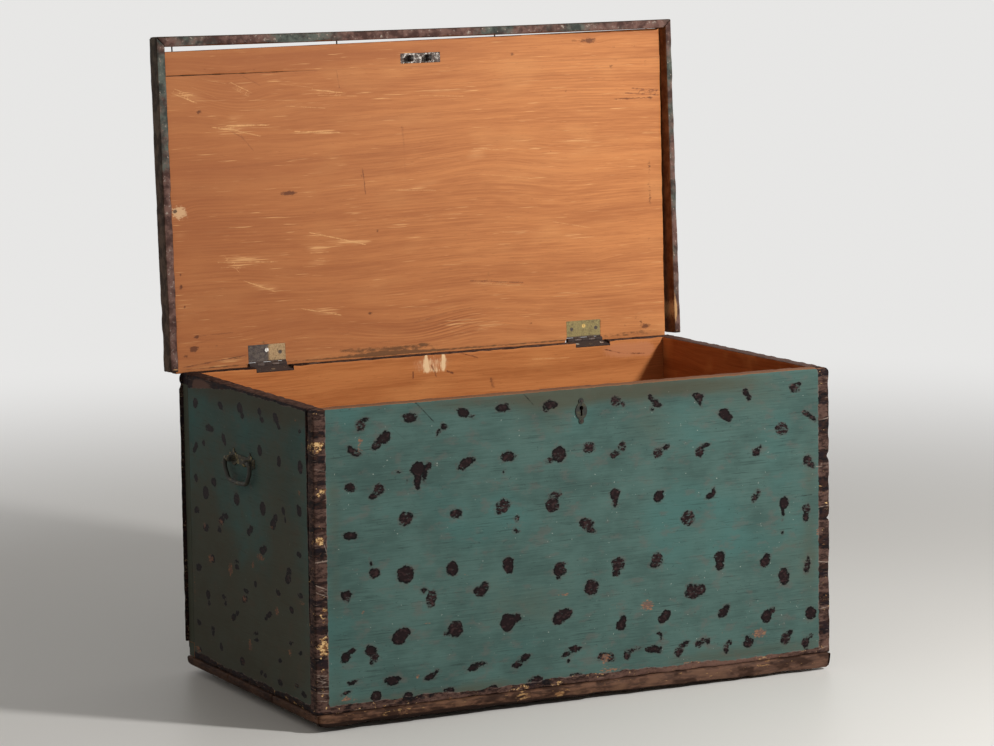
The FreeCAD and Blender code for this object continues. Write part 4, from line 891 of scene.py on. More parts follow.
# %% Bottom planks
bottom_material = foot_finish()
overhang, under_z = 5.0, 11.0
edges = np.linspace(-half_depth - overhang, half_depth + overhang, 4)
reach_out, middle = half_length + 3.0, 0.4
for number in (1, 2, 3):
    low = np.array([-reach_out, edges[number - 1], under_z])
    high = np.array([reach_out + 2 * middle, edges[number], foot])
    points, faces, rest = rounded_board(low, high, (4.2, 5.5, 2.6), 2.2)
    x, y, z = rest.T
    if number != 2:
        side = -1 if number == 1 else 1
        turn = np.clip(np.abs(x - middle) - (reach_out - 9), 0, 9) / 9
        outermost = np.abs(y - side * (half_depth + overhang)) < 1
        points[:, 1] -= side * (1 - np.sqrt(1 - turn ** 2)) * 9 * outermost
    fall = np.clip((22 - z) / 11, 0, 1)
    end = np.clip((np.abs(x - middle) - (reach_out - 14)) / 14, 0, 1)
    points[:, 0] -= np.sign(x) * (1 - np.sqrt(1 - fall ** 2)) * 9 * end ** 2
    points = knocked(points, low, high, reach=7, depth=2.5, size=18, seed=50 + number)
    chip, under = np.zeros(len(x)), np.full(len(x), -9.0)
    if number == 1:
        # its lower edge hangs below the others, by more to the right, and its lower front edge is painted
        # near black as the shadow of the gap under the chest
        front_edge = np.clip(1 - (y - low[1]) / 18, 0, 1)
        ragged = 2.5 * lumps(rest, 30, 7) + 1.5 * lumps(rest, 9, 8)
        hang = 4.0 + 3.5 * np.clip((x + 150) / 450, 0, 1) - ragged * np.clip(1 - x / 500, 0, 1)
        points[:, 2] -= hang * front_edge * np.clip((20 - z) / 7, 0, 1)
        brown_end = 15.5 - 6.0 * np.clip((x + 220) / 320, 0, 1) - 4.5 * np.clip((x - 150) / 250, 0, 1)
        under = brown_end + 3 * lumps(rest, 26, 12) - 1.5 - points[:, 2]
        under -= 9 * np.clip((y - low[1] - 24) / 20, 0, 9)
        chip = soft_spots(x, z, [(-113, 22, 14, 7, 1.6), (-42, 18, 14, 7, 1.5), (338, 22, 12, 6, 1.3),
                                 (-330, 22, 50, 8, .6), (60, 22, 30, 8, .5)])
    within = (np.abs(x) < 440) & (np.abs(y) < 240) & (z > foot - 1)
    node = "bottom_plank_" + str(number)
    piece(node + "_worn", points, faces, bottom_material, "carcass", [node], {
        "chip": chip, "under": under,
        "inside": np.where(within, 1.0, np.where(z < under_z + 0.1, -1.0, 0.0))})


# %% Dressing measured pieces
def dress(material, *nodes):
    """Gives measured pieces a finish."""
    for node in nodes:
        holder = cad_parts[node]
        holder.data.materials.clear()
        holder.data.materials.append(material)


skid_finish = Finish("skid_pine")
skid_wood, skid_height = pine(skid_finish, skid_finish.axis("X"), skid_finish.axis("Y"), seed=51)
dirt = skid_finish.noise(20, (1, 3, 1), 4.0, seed=53)
dress(skid_finish.done(Base_Color=skid_finish.blend(dirt.step(0.3, 0.6), skid_wood, (0.10, 0.06, 0.035)),
                       Roughness=0.75, Normal=skid_finish.bump(skid_height, 0.8)),
      "skid_left", "skid_middle", "skid_right")

# %% [markdown]
# ## The lid
# The lid stands open, 92.8 degrees from shut. It is easiest to draw it in its own axes: across (x),
# up the lid from the hinge, and out of its inner face. One formula then turns the points about the
# hinge pin.

# %% Lid axes
axis_y, axis_z, open_angle = 272.5, 508.5, radians(-92.8)
panel_half, rim_half = 472.0, 487.0                              # half widths, across
rim_inner, rim_outer = 541.1, 556.1                              # the front rim, up the lid
lid_outside, lid_inside, rim_lip = -18.5, -0.5, 15.5             # out of the inner face


def on_lid(points):
    """From lid axes (x, up the lid, out of the inner face) to the chest's axes: the turn about the
    hinge pin is y = y0 - up cos a + out sin a, z = z0 - up sin a - out cos a."""
    x, up, out = points.T
    return np.stack([x, axis_y - up * cos(open_angle) + out * sin(open_angle),
                     axis_z - up * sin(open_angle) - out * cos(open_angle)], axis=1)


# %% [markdown]
# The inside of the lid is the largest plain surface of the chest: bare pine with a flowing figure,
# pale scratches, a knot at the left edge and stains near the hinges. The flow of the grain is stored
# with the points as a place across the grain, bent where the figure bends. Each row below is
# (across, up, half width, half height, amount).

# %% Marks on the inside of the lid
grain_bends = [
    (-460, 265, 22, 14, 12), (-380, 470, 70, 40, 12), (-330, 370, 60, 20, -8), (330, 520, 28, 10, 6),
    (-120, 130, 160, 60, 9), (120, 330, 120, 60, -9), (330, 142, 30, 14, 5), (-250, 290, 120, 40, 8),
    (380, 330, 120, 60, -9), (-30, 470, 120, 30, 8), (-200, 60, 90, 24, -8), (250, 240, 120, 40, 8),
]
grain_slopes = [
    (30, 42, 110, 34, -0.20), (-380, 440, 90, 50, 0.32), (-250, 470, 80, 20, 0.12),
    (-300, 150, 110, 30, 0.10), (250, 320, 160, 60, 0.06), (-330, 40, 80, 30, -0.10),
]
pale_scratches = [
    (-340, 181, 52, 5, 1.1), (-345, 170, 30, 8, .7), (-312, 134, 30, 7, .9), (-290, 126, 16, 5, .9),
    (-205, 84, 30, 7, 1.0), (-185, 77, 20, 4, .7), (-208, 190, 20, 5, .9), (-205, 215, 18, 5, .8),
    (-208, 165, 20, 5, .8), (-206, 178, 22, 20, .5), (-150, 198, 38, 5, 1.0), (-120, 195, 20, 4, .9),
    (-428, 460, 28, 8, .9), (-415, 450, 22, 5, .8), (-332, 466, 26, 9, .7), (-345, 418, 18, 5, 1.0),
    (-330, 404, 46, 6, 1.0), (-350, 396, 30, 5, .6), (-180, 455, 32, 6, .8), (-185, 386, 34, 4, .9),
    (-240, 434, 30, 5, .6), (-395, 228, 40, 6, .6), (-455, 226, 14, 6, .8), (-60, 222, 34, 4, .6),
    (105, 340, 18, 8, 1.0), (100, 330, 24, 6, .9), (10, 292, 30, 6, .9), (-10, 284, 24, 4, .8),
    (30, 447, 30, 4, .9), (80, 446, 40, 4, .6), (-60, 440, 40, 4, .6), (300, 350, 50, 4, .9),
    (200, 352, 60, 5, .4), (285, 184, 26, 7, .8), (180, 196, 30, 5, .7), (150, 240, 50, 4, .5),
    (300, 400, 80, 5, .4), (110, 110, 40, 5, .8), (150, 104, 36, 4, .7), (290, 475, 40, 10, .4),
    (240, 80, 40, 5, .5), (250, 320, 40, 14, .5), (330, 330, 50, 14, .5), (330, 515, 60, 5, .4),
    (400, 430, 50, 4, .8), (430, 421, 36, 3, .6), (60, 45, 60, 14, .4), (120, 40, 30, 10, .5),
    (420, 345, 40, 18, .4), (30, 390, 40, 12, .4), (-440, 120, 20, 10, .3),
]
dark_marks = [
    (-432, 55, 4.5, 3, 1.4), (-438, 34, 7, 4.5, 1.5), (-453, 24, 3, 3, 1.5), (-453, 190, 2, 5, 1.1),
    (-457, 140, 3, 5, 1.3), (-443, 86, 2, 5, 1.0), (-457, 160, 2.5, 3, 1.1), (-452, 106, 2, 4, 1.0),
    (-112, 74, 5, 3, 1.0), (-92, 213, 3, 6, .6), (-115, 309, 3, 5, .8), (-114, 290, 2, 12, .5),
    (-37, 385, 6, 5, .5), (-36, 364, 4, 8, .4), (178, 504, 6, 3, .9), (330, 521, 16, 5, 1.0),
    (300, 522, 12, 3, .5), (443, 480, 3, 12, .6), (450, 425, 5, 14, .5), (446, 240, 4, 18, .65),
    (445, 300, 5, 22, .62), (443, 264, 4, 12, .5), (248, 333, 2, 4, .8), (280, 437, 3, 4, .7),
    (372, 477, 7, 5, .6), (380, 508, 4, 3, .6), (420, 509, 7, 2, .7), (195, 36, 6, 3, .6),
    (430, 16, 11, 5, 1.0), (409, 33, 3, 5, .7), (388, 20, 4, 3, .7), (420, 24, 5, 4, .7),
    (-395, 500, 3, 3, .6), (-308, 496, 3, 3, .7), (-97, 448, 3, 2, .6), (-158, 470, 3, 10, .4),
    (-254, 286, 16, 4, 1.2), (-410, 429, 5, 4, 1.0), (440, 170, 3, 3, .7), (-200, 142, 6, 3, .4),
    (-462, 266, 4.5, 3.5, 1.8), (-410, 38, 60, 2.0, .5), (-380, 48, 40, 1.6, .4), (410, 419, 50, 2, .8),
    (380, 428, 60, 1.6, .5), (110, 116, 26, 2, .6), (60, 62, 40, 2.5, .35), (105, 72, 30, 2, .3),
    (-20, 56, 40, 2, .4), (150, 128, 30, 2, .3), (-180, 60, 40, 2, .3), (40, 470, 60, 2, .25),
    (-285, 100, 30, 3, .25),
]


def slope_spots(across, up, spots):
    """Sum of slopes, each strongest in its middle: (across, up, half width, half height, rise per
    mm)."""
    total = np.zeros(len(across))
    for x, z, half_width, half_height, rise in spots:
        window = np.exp(-((across - x) / half_width) ** 2 - ((up - z) / half_height) ** 2)
        total += rise * (across - x) * window
    return total


lid_lines = [
    (-28, 52, 30, 64, 1.8, .45), (30, 64, 100, 73, 1.4, .4), (84, 117, 183, 108, 1.2, .7),
    (96, 112, 178, 104, .87, -.48), (415, 437, 465, 432, 1.1, .9), (403, 429, 465, 423, 1.0, .9),
    (430, 432, 462, 428, .8, .6), (-455, 461, -417, 445, .99, -.72), (-451, 468, -425, 458, .74, -.56),
    (-398, 482, -360, 474, .62, -.4), (-350, 475, -316, 458, .87, -.72), (-344, 464, -322, 452, .62, -.48),
    (-330, 486, -300, 470, 1.2, .4), (-420, 470, -380, 452, .62, -.32), (-238, 389, -157, 384, 1.05, -.72),
    (-359, 404, -288, 402, 1.36, -.72), (-385, 402, -343, 396, 1.12, -.64),
    (-350, 396, -305, 385, .99, -.56), (-203, 458, -142, 450, .99, -.72), (-190, 448, -120, 444, .74, -.48),
    (-262, 470, -205, 462, .74, -.4), (-250, 432, -180, 426, .93, -.48), (-354, 394, -335, 384, 1.3, .5),
    (-335, 384, -318, 364, 1.3, .5), (-156, 484, -153, 463, 1.0, .7), (-115, 315, -113, 298, 1.2, .7),
    (-113, 292, -112, 281, 1.2, .7), (-38, 386, -36, 360, 2.2, .35), (-36, 352, -35, 311, 1.8, .25),
    (-386, 177, -284, 172, .99, -.72), (-380, 168, -340, 166, .74, -.56), (-372, 183, -352, 160, .62, -.48),
    (-339, 142, -287, 122, .93, -.72), (-235, 89, -170, 75, .99, -.72), (-216, 217, -160, 203, 1.05, -.72),
    (-160, 203, -118, 192, .93, -.72), (-217, 183, -186, 183, .87, -.56), (-210, 170, -190, 168, .74, -.48),
    (-453, 6, -400, 12, 1.2, .8), (-400, 12, -345, 18, 1.1, .7), (-440, 3, -350, 6, .87, -.4),
    (-426, 56, -366, 58, 1.2, .5), (-450, 40, -400, 50, 1.0, .35), (-60, 282, 20, 277, .74, -.48),
    (-40, 334, 60, 330, .81, -.32), (110, 300, 200, 290, .74, -.4), (100, 345, 160, 340, .87, -.56),
    (0, 440, 80, 436, .81, -.48), (260, 352, 330, 348, .74, -.4), (250, 210, 320, 196, .87, -.48),
    (140, 200, 260, 190, .68, -.32), (30, 140, 60, 139, 1.0, .4), (-250, 342, -60, 346, 1.6, .3),
    (-420, 330, -250, 341, 1.8, .3), (-440, 300, -300, 316, 1.3, .25), (200, 140, 330, 128, 1.3, .25),
    (40, 36, 110, 44, .62, -.4), (50, 28, 120, 36, .62, -.36), (30, 22, 90, 27, .62, -.32),
    (100, 52, 170, 56, .62, -.32), (-130, 20, -75, 24, 1.0, .4), (330, 30, 420, 24, 1.0, .3),
]
lid_tones = [
    (-380, 335, 110, 14, .5), (-260, 320, 160, 20, .4), (-430, 250, 50, 60, .4), (-120, 150, 120, 14, .3),
    (60, 110, 150, 10, .3), (-420, 420, 40, 18, .3), (-60, 400, 90, 14, -.3), (-300, 430, 120, 20, -.3),
    (200, 300, 120, 30, -.3), (330, 200, 60, 40, .2), (-250, 70, 90, 16, .4), (200, 480, 160, 16, -.2),
    (-150, 515, 300, 14, .8), (-350, 465, 110, 34, .35), (-400, 260, 90, 120, .22),
]


# %% Finish of the lid's inside
def lid_finish():
    """Bare pine with its marks inside, and paint outside and at the edges."""
    finish = Finish("lid_pine")
    flow, pale, mark, stain, knot, tone, ripple, join, dab, worn, edge, outside = finish.attributes(
        "flow pale mark stain knot tone ripple join dab worn edge outside")
    x = finish.axis("X")
    colour, height = pine(finish, flow, x, (0.607, 0.234, 0.074), (0.430, 0.145, 0.043), 61, ripple)
    scratch = finish.noise(2.0, (30, 1.2, 1.2), 2.0, rough=0.6, seed=67)
    speck = finish.noise(2.6, (2, 1, 1), 3.0, rough=0.65, seed=68)
    olive = finish.noise(3.6, (3, 1, 1), 4.0, rough=0.7, seed=69)
    colour = finish.coats(
        # darker towards the left: partly a darker, redder wood, partly painted shade where the light falls
        # off
        colour, (x.step(330, -470) * 0.50, (0.330, 0.102, 0.031)),
        (tone.step(0.0, 0.8) * 0.55, (0.350, 0.108, 0.033)),
        (tone.step(0.0, -0.8) * 0.45, (0.680, 0.300, 0.110)),
        # pale scratches run with the grain and gather in patches
        ((scratch + pale * 0.15).step(0.64, 0.78) * 0.75, (0.780, 0.415, 0.168)),
        (pale.step(0.3, 1.2) * 0.25, (0.700, 0.340, 0.135)))
    colour = draw_lines(finish, colour, (0.160, 0.048, 0.020), (0.790, 0.430, 0.175), 2.5)
    colour = finish.coats(
        colour, ((mark + (speck - 0.5) * 1.2).step(0.34, 0.80) * 0.80, (0.088, 0.022, 0.008)),
        ((stain + (olive - 0.5) * 1.9).step(0.34, 0.90) * 0.80, (0.095, 0.040, 0.013)),
        ((knot + (speck - 0.5) * 1.9).step(0.35, 0.80) * 0.80, (0.740, 0.470, 0.250)),
        ((mark * knot).step(0.5, 0.9) * 0.85, (0.070, 0.035, 0.020)), (join, (0.120, 0.042, 0.017)))
    # the outside and the edges are painted
    paint = dab_coat(finish, blue_green(finish)[0], dab, worn)[0]
    worn_edge = finish.blend(speck.step(0.4, 0.6), (0.050, 0.024, 0.014), (0.24, 0.11, 0.05))
    colour = finish.blend(outside.step(0.4, 0.6), colour, finish.blend(edge, paint, worn_edge))
    return finish.done(Base_Color=colour, Roughness=0.56 + speck * 0.12, Specular_IOR_Level=0.25,
                       Normal=finish.bump(height - mark * 0.1, 0.8))


lid_material = lid_finish()

# %% [markdown]
# The hinge leaves and the link plate are let into the inside of the lid. The grid has lines on both
# sides of each recess, 0.1 mm apart, and the points between them sink by the depth of the leaf. The
# right edge of the panel has shrunk away from its rim, by more towards the hinges.

# %% Lid planks
leaf_seats = [(start - 0.1, stop + 0.1, -5.0, 34.1, 2.1) for start, stop in leaf_ends]
plate_seats = [(-36.1, 39.1, 495.9, 513.1, 2.6)]
lid_foot, seam = -4.5, 490.1
rng = np.random.default_rng(5)


def loose_dab(x, up, sideways, upwards, widths, heights):
    """A dab near (x, up), with a random place, size, tilt and wear."""
    return (x + rng.uniform(-sideways, sideways), up + rng.uniform(-upwards, upwards),
            rng.uniform(*widths), rng.uniform(*heights), rng.uniform(-60, 60), rng.uniform(0, 0.9))


top_dabs = [loose_dab(x, up, 26, 17, (7, 14), (5, 12))
            for up in range(45, 540, 65) for x in range(-425, 450, 84)]
top_dabs += [loose_dab(x, up, 13, 10, (3, 8), (3, 7)) for x, up, *_ in top_dabs[::2]]


def lid_plank(low_up, high_up, seats):
    """A plank of the lid in lid axes, sunk under the seats. Gives its points, its faces and the
    points as they were on the sharp board."""
    low, high = (-panel_half, low_up, lid_outside), (panel_half, high_up, lid_inside)
    borders, up_borders = (sharp_lines([seat[k:k + 2] for seat in seats]) for k in (0, 2))
    up_borders = up_borders[(up_borders > low_up + 2) & (up_borders < high_up - 2)]
    points, faces, rest = rounded_board(low, high, (5.0, 2.5, 6.0), 1.2, (borders, up_borders, ()))
    points = knocked(points, low, high, reach=4, depth=0.8, size=15, seed=71)
    x, up, out = rest.T
    # the join is tight, except at its left end
    tight = np.clip((x + 300) / 120, 0, 1) * (np.abs(up - seam) < 3)
    points += (rest - points) * tight[:, None]
    for left, right, lower, upper, sink in seats:
        inside = (x > left - .01) & (x < right + .01) & (up > lower - .01) & (up < upper + .01)
        points[inside & (out > -1), 2] -= sink
    points[:, 0] -= 8.0 * np.clip(1 - up / 540, 0, 1) * np.clip((x - 300) / 172, 0, 1)
    return points, faces, rest


def lid_signals(rest):
    """The signals that the points of a lid plank hold for its finish."""
    x, up, out = rest.T
    flow = up + soft_spots(x, up, grain_bends) + slope_spots(x, up, grain_slopes)
    ripples = soft_spots(x, up, [(15, 42, 80, 26, .65), (-390, 240, 70, 50, .40),
                                 (-360, 462, 90, 40, .30), (-420, 330, 50, 60, .35),
                                 (-300, 130, 90, 40, .25), (260, 70, 120, 30, .20),
                                 (330, 400, 90, 60, .22), (-150, 40, 90, 20, .30)])
    stains = soft_spots(x, up, [(-80, 4, 78, 6, 1.0), (-145, 13, 34, 4, .7), (-55, 12, 62, 3, .8),
                                (-390, 2, 70, 2, .6), (-12, 14, 10, 4, .6), (200, 2, 260, 1.6, .9),
                                (-360, 16, 22, 3, .7), (-465, 90, 4, 60, .4), (-312, 36, 9, 3, .9),
                                (116, 128, 6, 9, .45), (-130, 2, 200, 1.6, .9), (400, 6, 60, 3, .7)])
    nearest, worn = dab_signals(x, up, top_dabs)
    line, line_strength = line_signals(x, up, lid_lines, (5.0, 2.5))
    inner_face, outer_face = out > lid_inside - 0.1, out < lid_outside + 0.1
    return {
        "flow": flow, "ripple": ripples, "tone": soft_spots(x, up, lid_tones),
        "line": line, "line_strength": line_strength * inner_face,
        "pale": soft_spots(x, up, pale_scratches) + soft_spots(x, up, [(-372, 13, 30, 4, 1.2)]),
        "mark": soft_spots(x, up, dark_marks), "stain": stains,
        "knot": soft_spots(x, up, [(-456, 266, 13, 9, 1.0), (-450, 260, 11, 9, .6)]),
        "join": (np.abs(up - seam) < 0.7) * np.clip(1.1 - (x + panel_half) / 210, 0.12, 0.95),
        "outside": 1.0 - inner_face, "edge": ~inner_face & ~outer_face,
        "dab": np.where(outer_face, nearest, 12.0), "worn": worn}


points, faces, rest = lid_plank(lid_foot, seam, leaf_seats + plate_seats)
notch = ((np.abs(rest[:, 0] + 306) < 34.3) | (np.abs(rest[:, 0] - 300) < 34.3)) & (rest[:, 1] < 5.5)
points[notch, 1] = np.maximum(points[notch, 1], 5.4)
piece("lid_main_plank_worn", on_lid(points), faces, lid_material, "lid", ["lid_main_plank"],
      lid_signals(rest))


# %% Front plank of the lid
def front_edge(x):
    """Upper edge of the narrow plank: an arc through three places, left, middle and right."""
    part = (x + panel_half) / (2 * panel_half)
    return (edge_left * (1 - part) * (1 - 2 * part) + plank_top * 4 * part * (1 - part)
            + edge_right * part * (2 * part - 1))


edge_left, plank_top, edge_right = 530.2, 535.1, 540.6
points, faces, rest = lid_plank(seam, plank_top, plate_seats)
points[:, 1] += (points[:, 1] - seam) / (plank_top - seam) * (front_edge(points[:, 0]) - plank_top)
piece("lid_front_plank_worn", on_lid(points), faces, lid_material, "lid", ["lid_front_plank"],
      lid_signals(rest))


# %% [markdown]
# ## The rims
# Three strips frame the lid. They were painted, and handling has worn them to a dark mixture of
# blue-green, brown and wood. The side rims are mitred to the front rim, which has bowed inwards.


# %% Finish of the rims
def rim_finish():
    """Blue-green, brown and bare wood, in streaks along the strip, with painted shade along the arrises."""
    finish = Finish("rim_wood")
    along = finish.noise(4, (5, 4, 5), 4.0, rough=0.62, seed=81)
    patch = finish.noise(36, (2, 1, 1.8), 4.0, rough=0.65, seed=82)
    fleck = finish.noise(3.2, (2.2, 1, 2), 3.0, rough=0.7, seed=83)
    mauve, shade, inner, arris, fresh = finish.attributes("mauve shade inner arris fresh")

    def streaks(low, high, dark, light):
        """Dark and light streaks along the strip."""
        return finish.blend(along.step(low, high), dark, light)

    colour = finish.coats(
        streaks(0.38, 0.62, (0.047, 0.054, 0.048), (0.118, 0.134, 0.114)),
        ((patch + fleck * 0.3 + mauve * 0.25).step(0.56, 0.80),
         streaks(0.38, 0.62, (0.070, 0.036, 0.030), (0.185, 0.103, 0.084))),
        ((fleck + along * 0.3).step(0.74, 0.88) * 0.7, (0.46, 0.40, 0.34)),
        ((fleck + along * 0.4).step(0.56, 0.44) * 0.7, (0.020, 0.013, 0.012)),
        (shade, streaks(0.35, 0.65, (0.036, 0.025, 0.018), (0.120, 0.084, 0.060))),
        (inner, streaks(0.3, 0.7, (0.105, 0.036, 0.013), (0.24, 0.098, 0.040))),
        # darker at every arris: painted shade along the edges of the rims
        ((arris + (fleck - 0.5) * 1.4).step(0.55, 0.85) * 0.85,
         streaks(0.4, 0.6, (0.026, 0.013, 0.010), (0.085, 0.036, 0.022))),
        ((fresh + (fleck - 0.5) * 0.6).step(0.4, 0.7), (0.55, 0.32, 0.15)))
    return finish.done(Base_Color=colour, Roughness=0.64 + fleck * 0.12, Specular_IOR_Level=0.07,
                       Normal=finish.bump(along * 0.25 + fleck * 0.15, 0.9))


rim_material = rim_finish()


# %% Rims
def rim(side, low, high, steps, shape, faces_in, mauve=(), fresh=()):
    """A knocked bar in lid axes, bent and mitred by the shape function."""
    name = "lid_rim_" + side + "_worn"
    points, faces, rest = rounded_board(low, high, steps, 1.8)
    points = knocked(points, low, high, reach=5, depth=2.0, size=20, seed=91 + len(name))
    # nearness to the arrises, along which the finish paints shade
    near = np.sort(np.minimum(rest - low, np.array(high) - rest), axis=1)[:, 1]
    x, up, out = rest.T
    shade = (np.abs(x) > rim_half - 0.1) | (up > rim_outer - 0.1) | (up < 3.1) | (out < lid_outside + 0.1)
    piece(name, on_lid(shape(points)), faces, rim_material, "lid", ["lid_rim_" + side], {
        "inner": faces_in(rest), "arris": np.exp(-near / 1.5) * 0.95, "shade": shade * 0.8,
        "mauve": soft_spots(x, up, mauve), "fresh": soft_spots(x, up, fresh)})


def mitred_side(points):
    """Side rim: its length grows with the distance from the panel. The right one has warped, so that
    its inner face leans outwards."""
    points = points.copy()
    lean = 0.24 * np.clip((points[:, 2] + 0.5) / 16.0, 0, 1) * (points[:, 0] > 0)
    points[:, 0] += lean * (rim_half - points[:, 0])
    reach = rim_inner + (np.abs(points[:, 0]) - panel_half) - 0.6 * (points[:, 0] < 0)
    points[:, 1] = 3.0 + (points[:, 1] - 3.0) * (reach - 3.0) / (rim_outer - 3.0)
    return points


def mitred_front(points):
    """Front rim: its length grows with the distance from the panel, and it bows in by an arc, by so
    little that it still clears the front board when the lid is shut."""
    points = points.copy()
    left = np.clip(-points[:, 0] / rim_half, 0, 1)
    points[:, 0] *= (panel_half + points[:, 1] - rim_inner) / rim_half
    points[:, 1] -= left * (0.6 + 2.0 * (rim_outer - points[:, 1]) / (rim_outer - rim_inner))
    points[:, 1] -= 2.3 * (1 - (points[:, 0] / rim_half) ** 2)
    return points


rim("left", (-rim_half, -1.0, lid_outside), (-panel_half, rim_outer, rim_lip), (5.0, 3.5, 6.0),
    mitred_side, lambda rest: rest[:, 0] > -panel_half - 0.1,
    [(-480, 120, 20, 150, 1.0), (-480, 300, 20, 60, .5)], [(-478, 4, 10, 3, .7)])
rim("right", (panel_half, 0.8, lid_outside), (rim_half, rim_outer, rim_lip), (5.0, 3.5, 6.0),
    mitred_side, lambda rest: rest[:, 0] < panel_half + 0.1,
    [(480, 100, 20, 150, 1.0), (480, 330, 20, 60, .6), (480, 540, 20, 40, .9)],
    [(475, 44, 4, 26, 1.1), (474, 150, 2, 80, .5), (478, 5, 8, 4, .4)])
rim("front", (-rim_half, rim_inner, lid_outside), (rim_half, rim_outer, rim_lip), (3.5, 5.0, 6.0),
    mitred_front, lambda rest: rest[:, 1] < rim_inner + 0.1,
    [(-470, 550, 40, 20, .9), (-340, 550, 50, 20, .8), (-10, 550, 90, 20, .9), (430, 550, 70, 20, .9)])

# %% [markdown]
# ## Metal
# The measured fittings have dead sharp edges. Their meshes are copied, their doubles merged, and a
# small Bevel modifier breaks the edges, so that each one catches a line of light.


# %% Metal finishes
def metal(name, base, stain, spot, metallic, rough, size, seed, amount):
    """A worn metal: clear places, places dulled by a stain, and small spots. Amount is the share
    that is dulled."""
    finish = Finish(name)
    cloud = finish.noise(size, detail=4.0, rough=0.65, seed=seed)
    speck = finish.noise(size / 5, detail=3.0, rough=0.7, seed=seed + 3)
    dull = (cloud * 0.6 + speck * 0.4).step(0.64 - amount * 0.3, 0.72 - amount * 0.25)
    colour = finish.coats(base, (dull, stain), (speck.step(0.60, 0.70) * 0.7, spot))
    return finish.done(Base_Color=colour, Metallic=(1 - dull * 0.85) * metallic,
                       Roughness=rough + dull * 0.25 + speck * 0.1,
                       Normal=finish.bump(cloud * 0.2 + speck * 0.12, 0.7))


# name, own colour, stain, spots, metallic, roughness, size of the clouds in mm, seed and amount
metals = {key: metal(*row) for key, *row in (
    ("iron", "rusty_iron", (0.075, 0.055, 0.045), (0.036, 0.020, 0.016), (0.095, 0.042, 0.024),
     0.6, 0.55, 9, 101, 0.9),
    ("dark_brass", "dark_brass", (0.125, 0.100, 0.042), (0.020, 0.019, 0.013), (0.040, 0.034, 0.018),
     0.8, 0.42, 12, 105, 0.95),
    ("rubbed_brass", "rubbed_brass", (0.26, 0.205, 0.090), (0.022, 0.020, 0.013), (0.040, 0.034, 0.018),
     0.7, 0.45, 8, 108, 0.86),
    ("zinc", "galvanised_iron", (0.58, 0.53, 0.48), (0.080, 0.054, 0.044), (0.030, 0.020, 0.016),
     0.3, 0.5, 8, 107, 0.78),
    ("black", "blackened_iron", (0.030, 0.024, 0.021), (0.012, 0.009, 0.008), (0.10, 0.08, 0.07),
     0.5, 0.5, 5, 131, 0.6),
    ("plate", "keyhole_brass", (0.055, 0.052, 0.028), (0.012, 0.013, 0.010), (0.090, 0.080, 0.045),
     0.6, 0.5, 8, 141, 0.9))}


def stained_leaf(name, turn_x, side, brass_light, brass_dark, seed):
    """An upper hinge leaf: brass on one side of turn_x, dark and rusty on the other, and dark round
    the barrel."""
    finish = Finish(name)
    x, y, z = (finish.axis(key) for key in "XYZ")
    cloud = finish.noise(8, detail=4.0, rough=0.65, seed=seed)
    speck = finish.noise(1.8, detail=3.0, rough=0.7, seed=seed + 2)
    dark = ((x - turn_x) * side + (cloud - 0.5) * 16).step(-3.0, 3.0)
    barrel = ((y - axis_y) * (y - axis_y) + (z - axis_z) * (z - axis_z)).step(64.0, 30.0)
    rust = finish.blend((cloud * 0.6 + speck * 0.4).step(0.42, 0.6),
                        (0.048, 0.034, 0.032), (0.135, 0.105, 0.085))
    grease = finish.blend(speck.step(0.4, 0.6), (0.030, 0.018, 0.015), (0.085, 0.052, 0.038))
    colour = finish.coats(brass_light, (speck.step(0.42, 0.68), brass_dark),
                          (cloud.step(0.52, 0.64) * 0.5, (0.110, 0.075, 0.035)), (dark, rust),
                          (barrel, grease))
    return finish.done(Base_Color=colour, Metallic=0.55 - dark * 0.45 - barrel * 0.1,
                       Roughness=0.50 + dark * 0.2, Normal=finish.bump(cloud * 0.2 + speck * 0.1, 0.7))


def screw_finish(name, places):
    """Screw heads that differ from each other: (x, colour, metallic) for each, dull elsewhere."""
    finish = Finish(name)
    x = finish.axis("X")
    speck = finish.noise(1.2, detail=3.0, rough=0.65, seed=121)
    colour = finish.blend(speck.step(0.4, 0.6), (0.045, 0.030, 0.022), (0.105, 0.075, 0.055))
    shine = speck * 0.2
    for at, tint, metallic in places:
        here = abs(x - at).step(9.0, 8.0)
        colour = finish.blend(here, colour, finish.blend(speck.step(0.55, 0.75), tint, (0.12, 0.10, 0.08)))
        shine = shine + here * metallic
    return finish.done(Base_Color=colour, Metallic=shine, Roughness=0.42 + speck * 0.2,
                       Normal=finish.bump(speck * 0.15, 0.6))


# %% Softened copies of the fittings
def softened(node, material, body, width=0.3):
    """A copy of a measured fitting with its doubles merged and its edges broken by a bevel."""
    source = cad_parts[node].data.copy()
    made = placed(node + "_soft", source)
    source.materials.clear()
    source.materials.append(material)
    weld = made.modifiers.new("weld", "WELD")
    weld.merge_threshold = 0.00002
    bevel = made.modifiers.new("broken edges", "BEVEL")
    bevel.width, bevel.segments = width * 0.001, 2
    bevel.limit_method, bevel.angle_limit = "ANGLE", radians(35)
    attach(made, body)
    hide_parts(node)


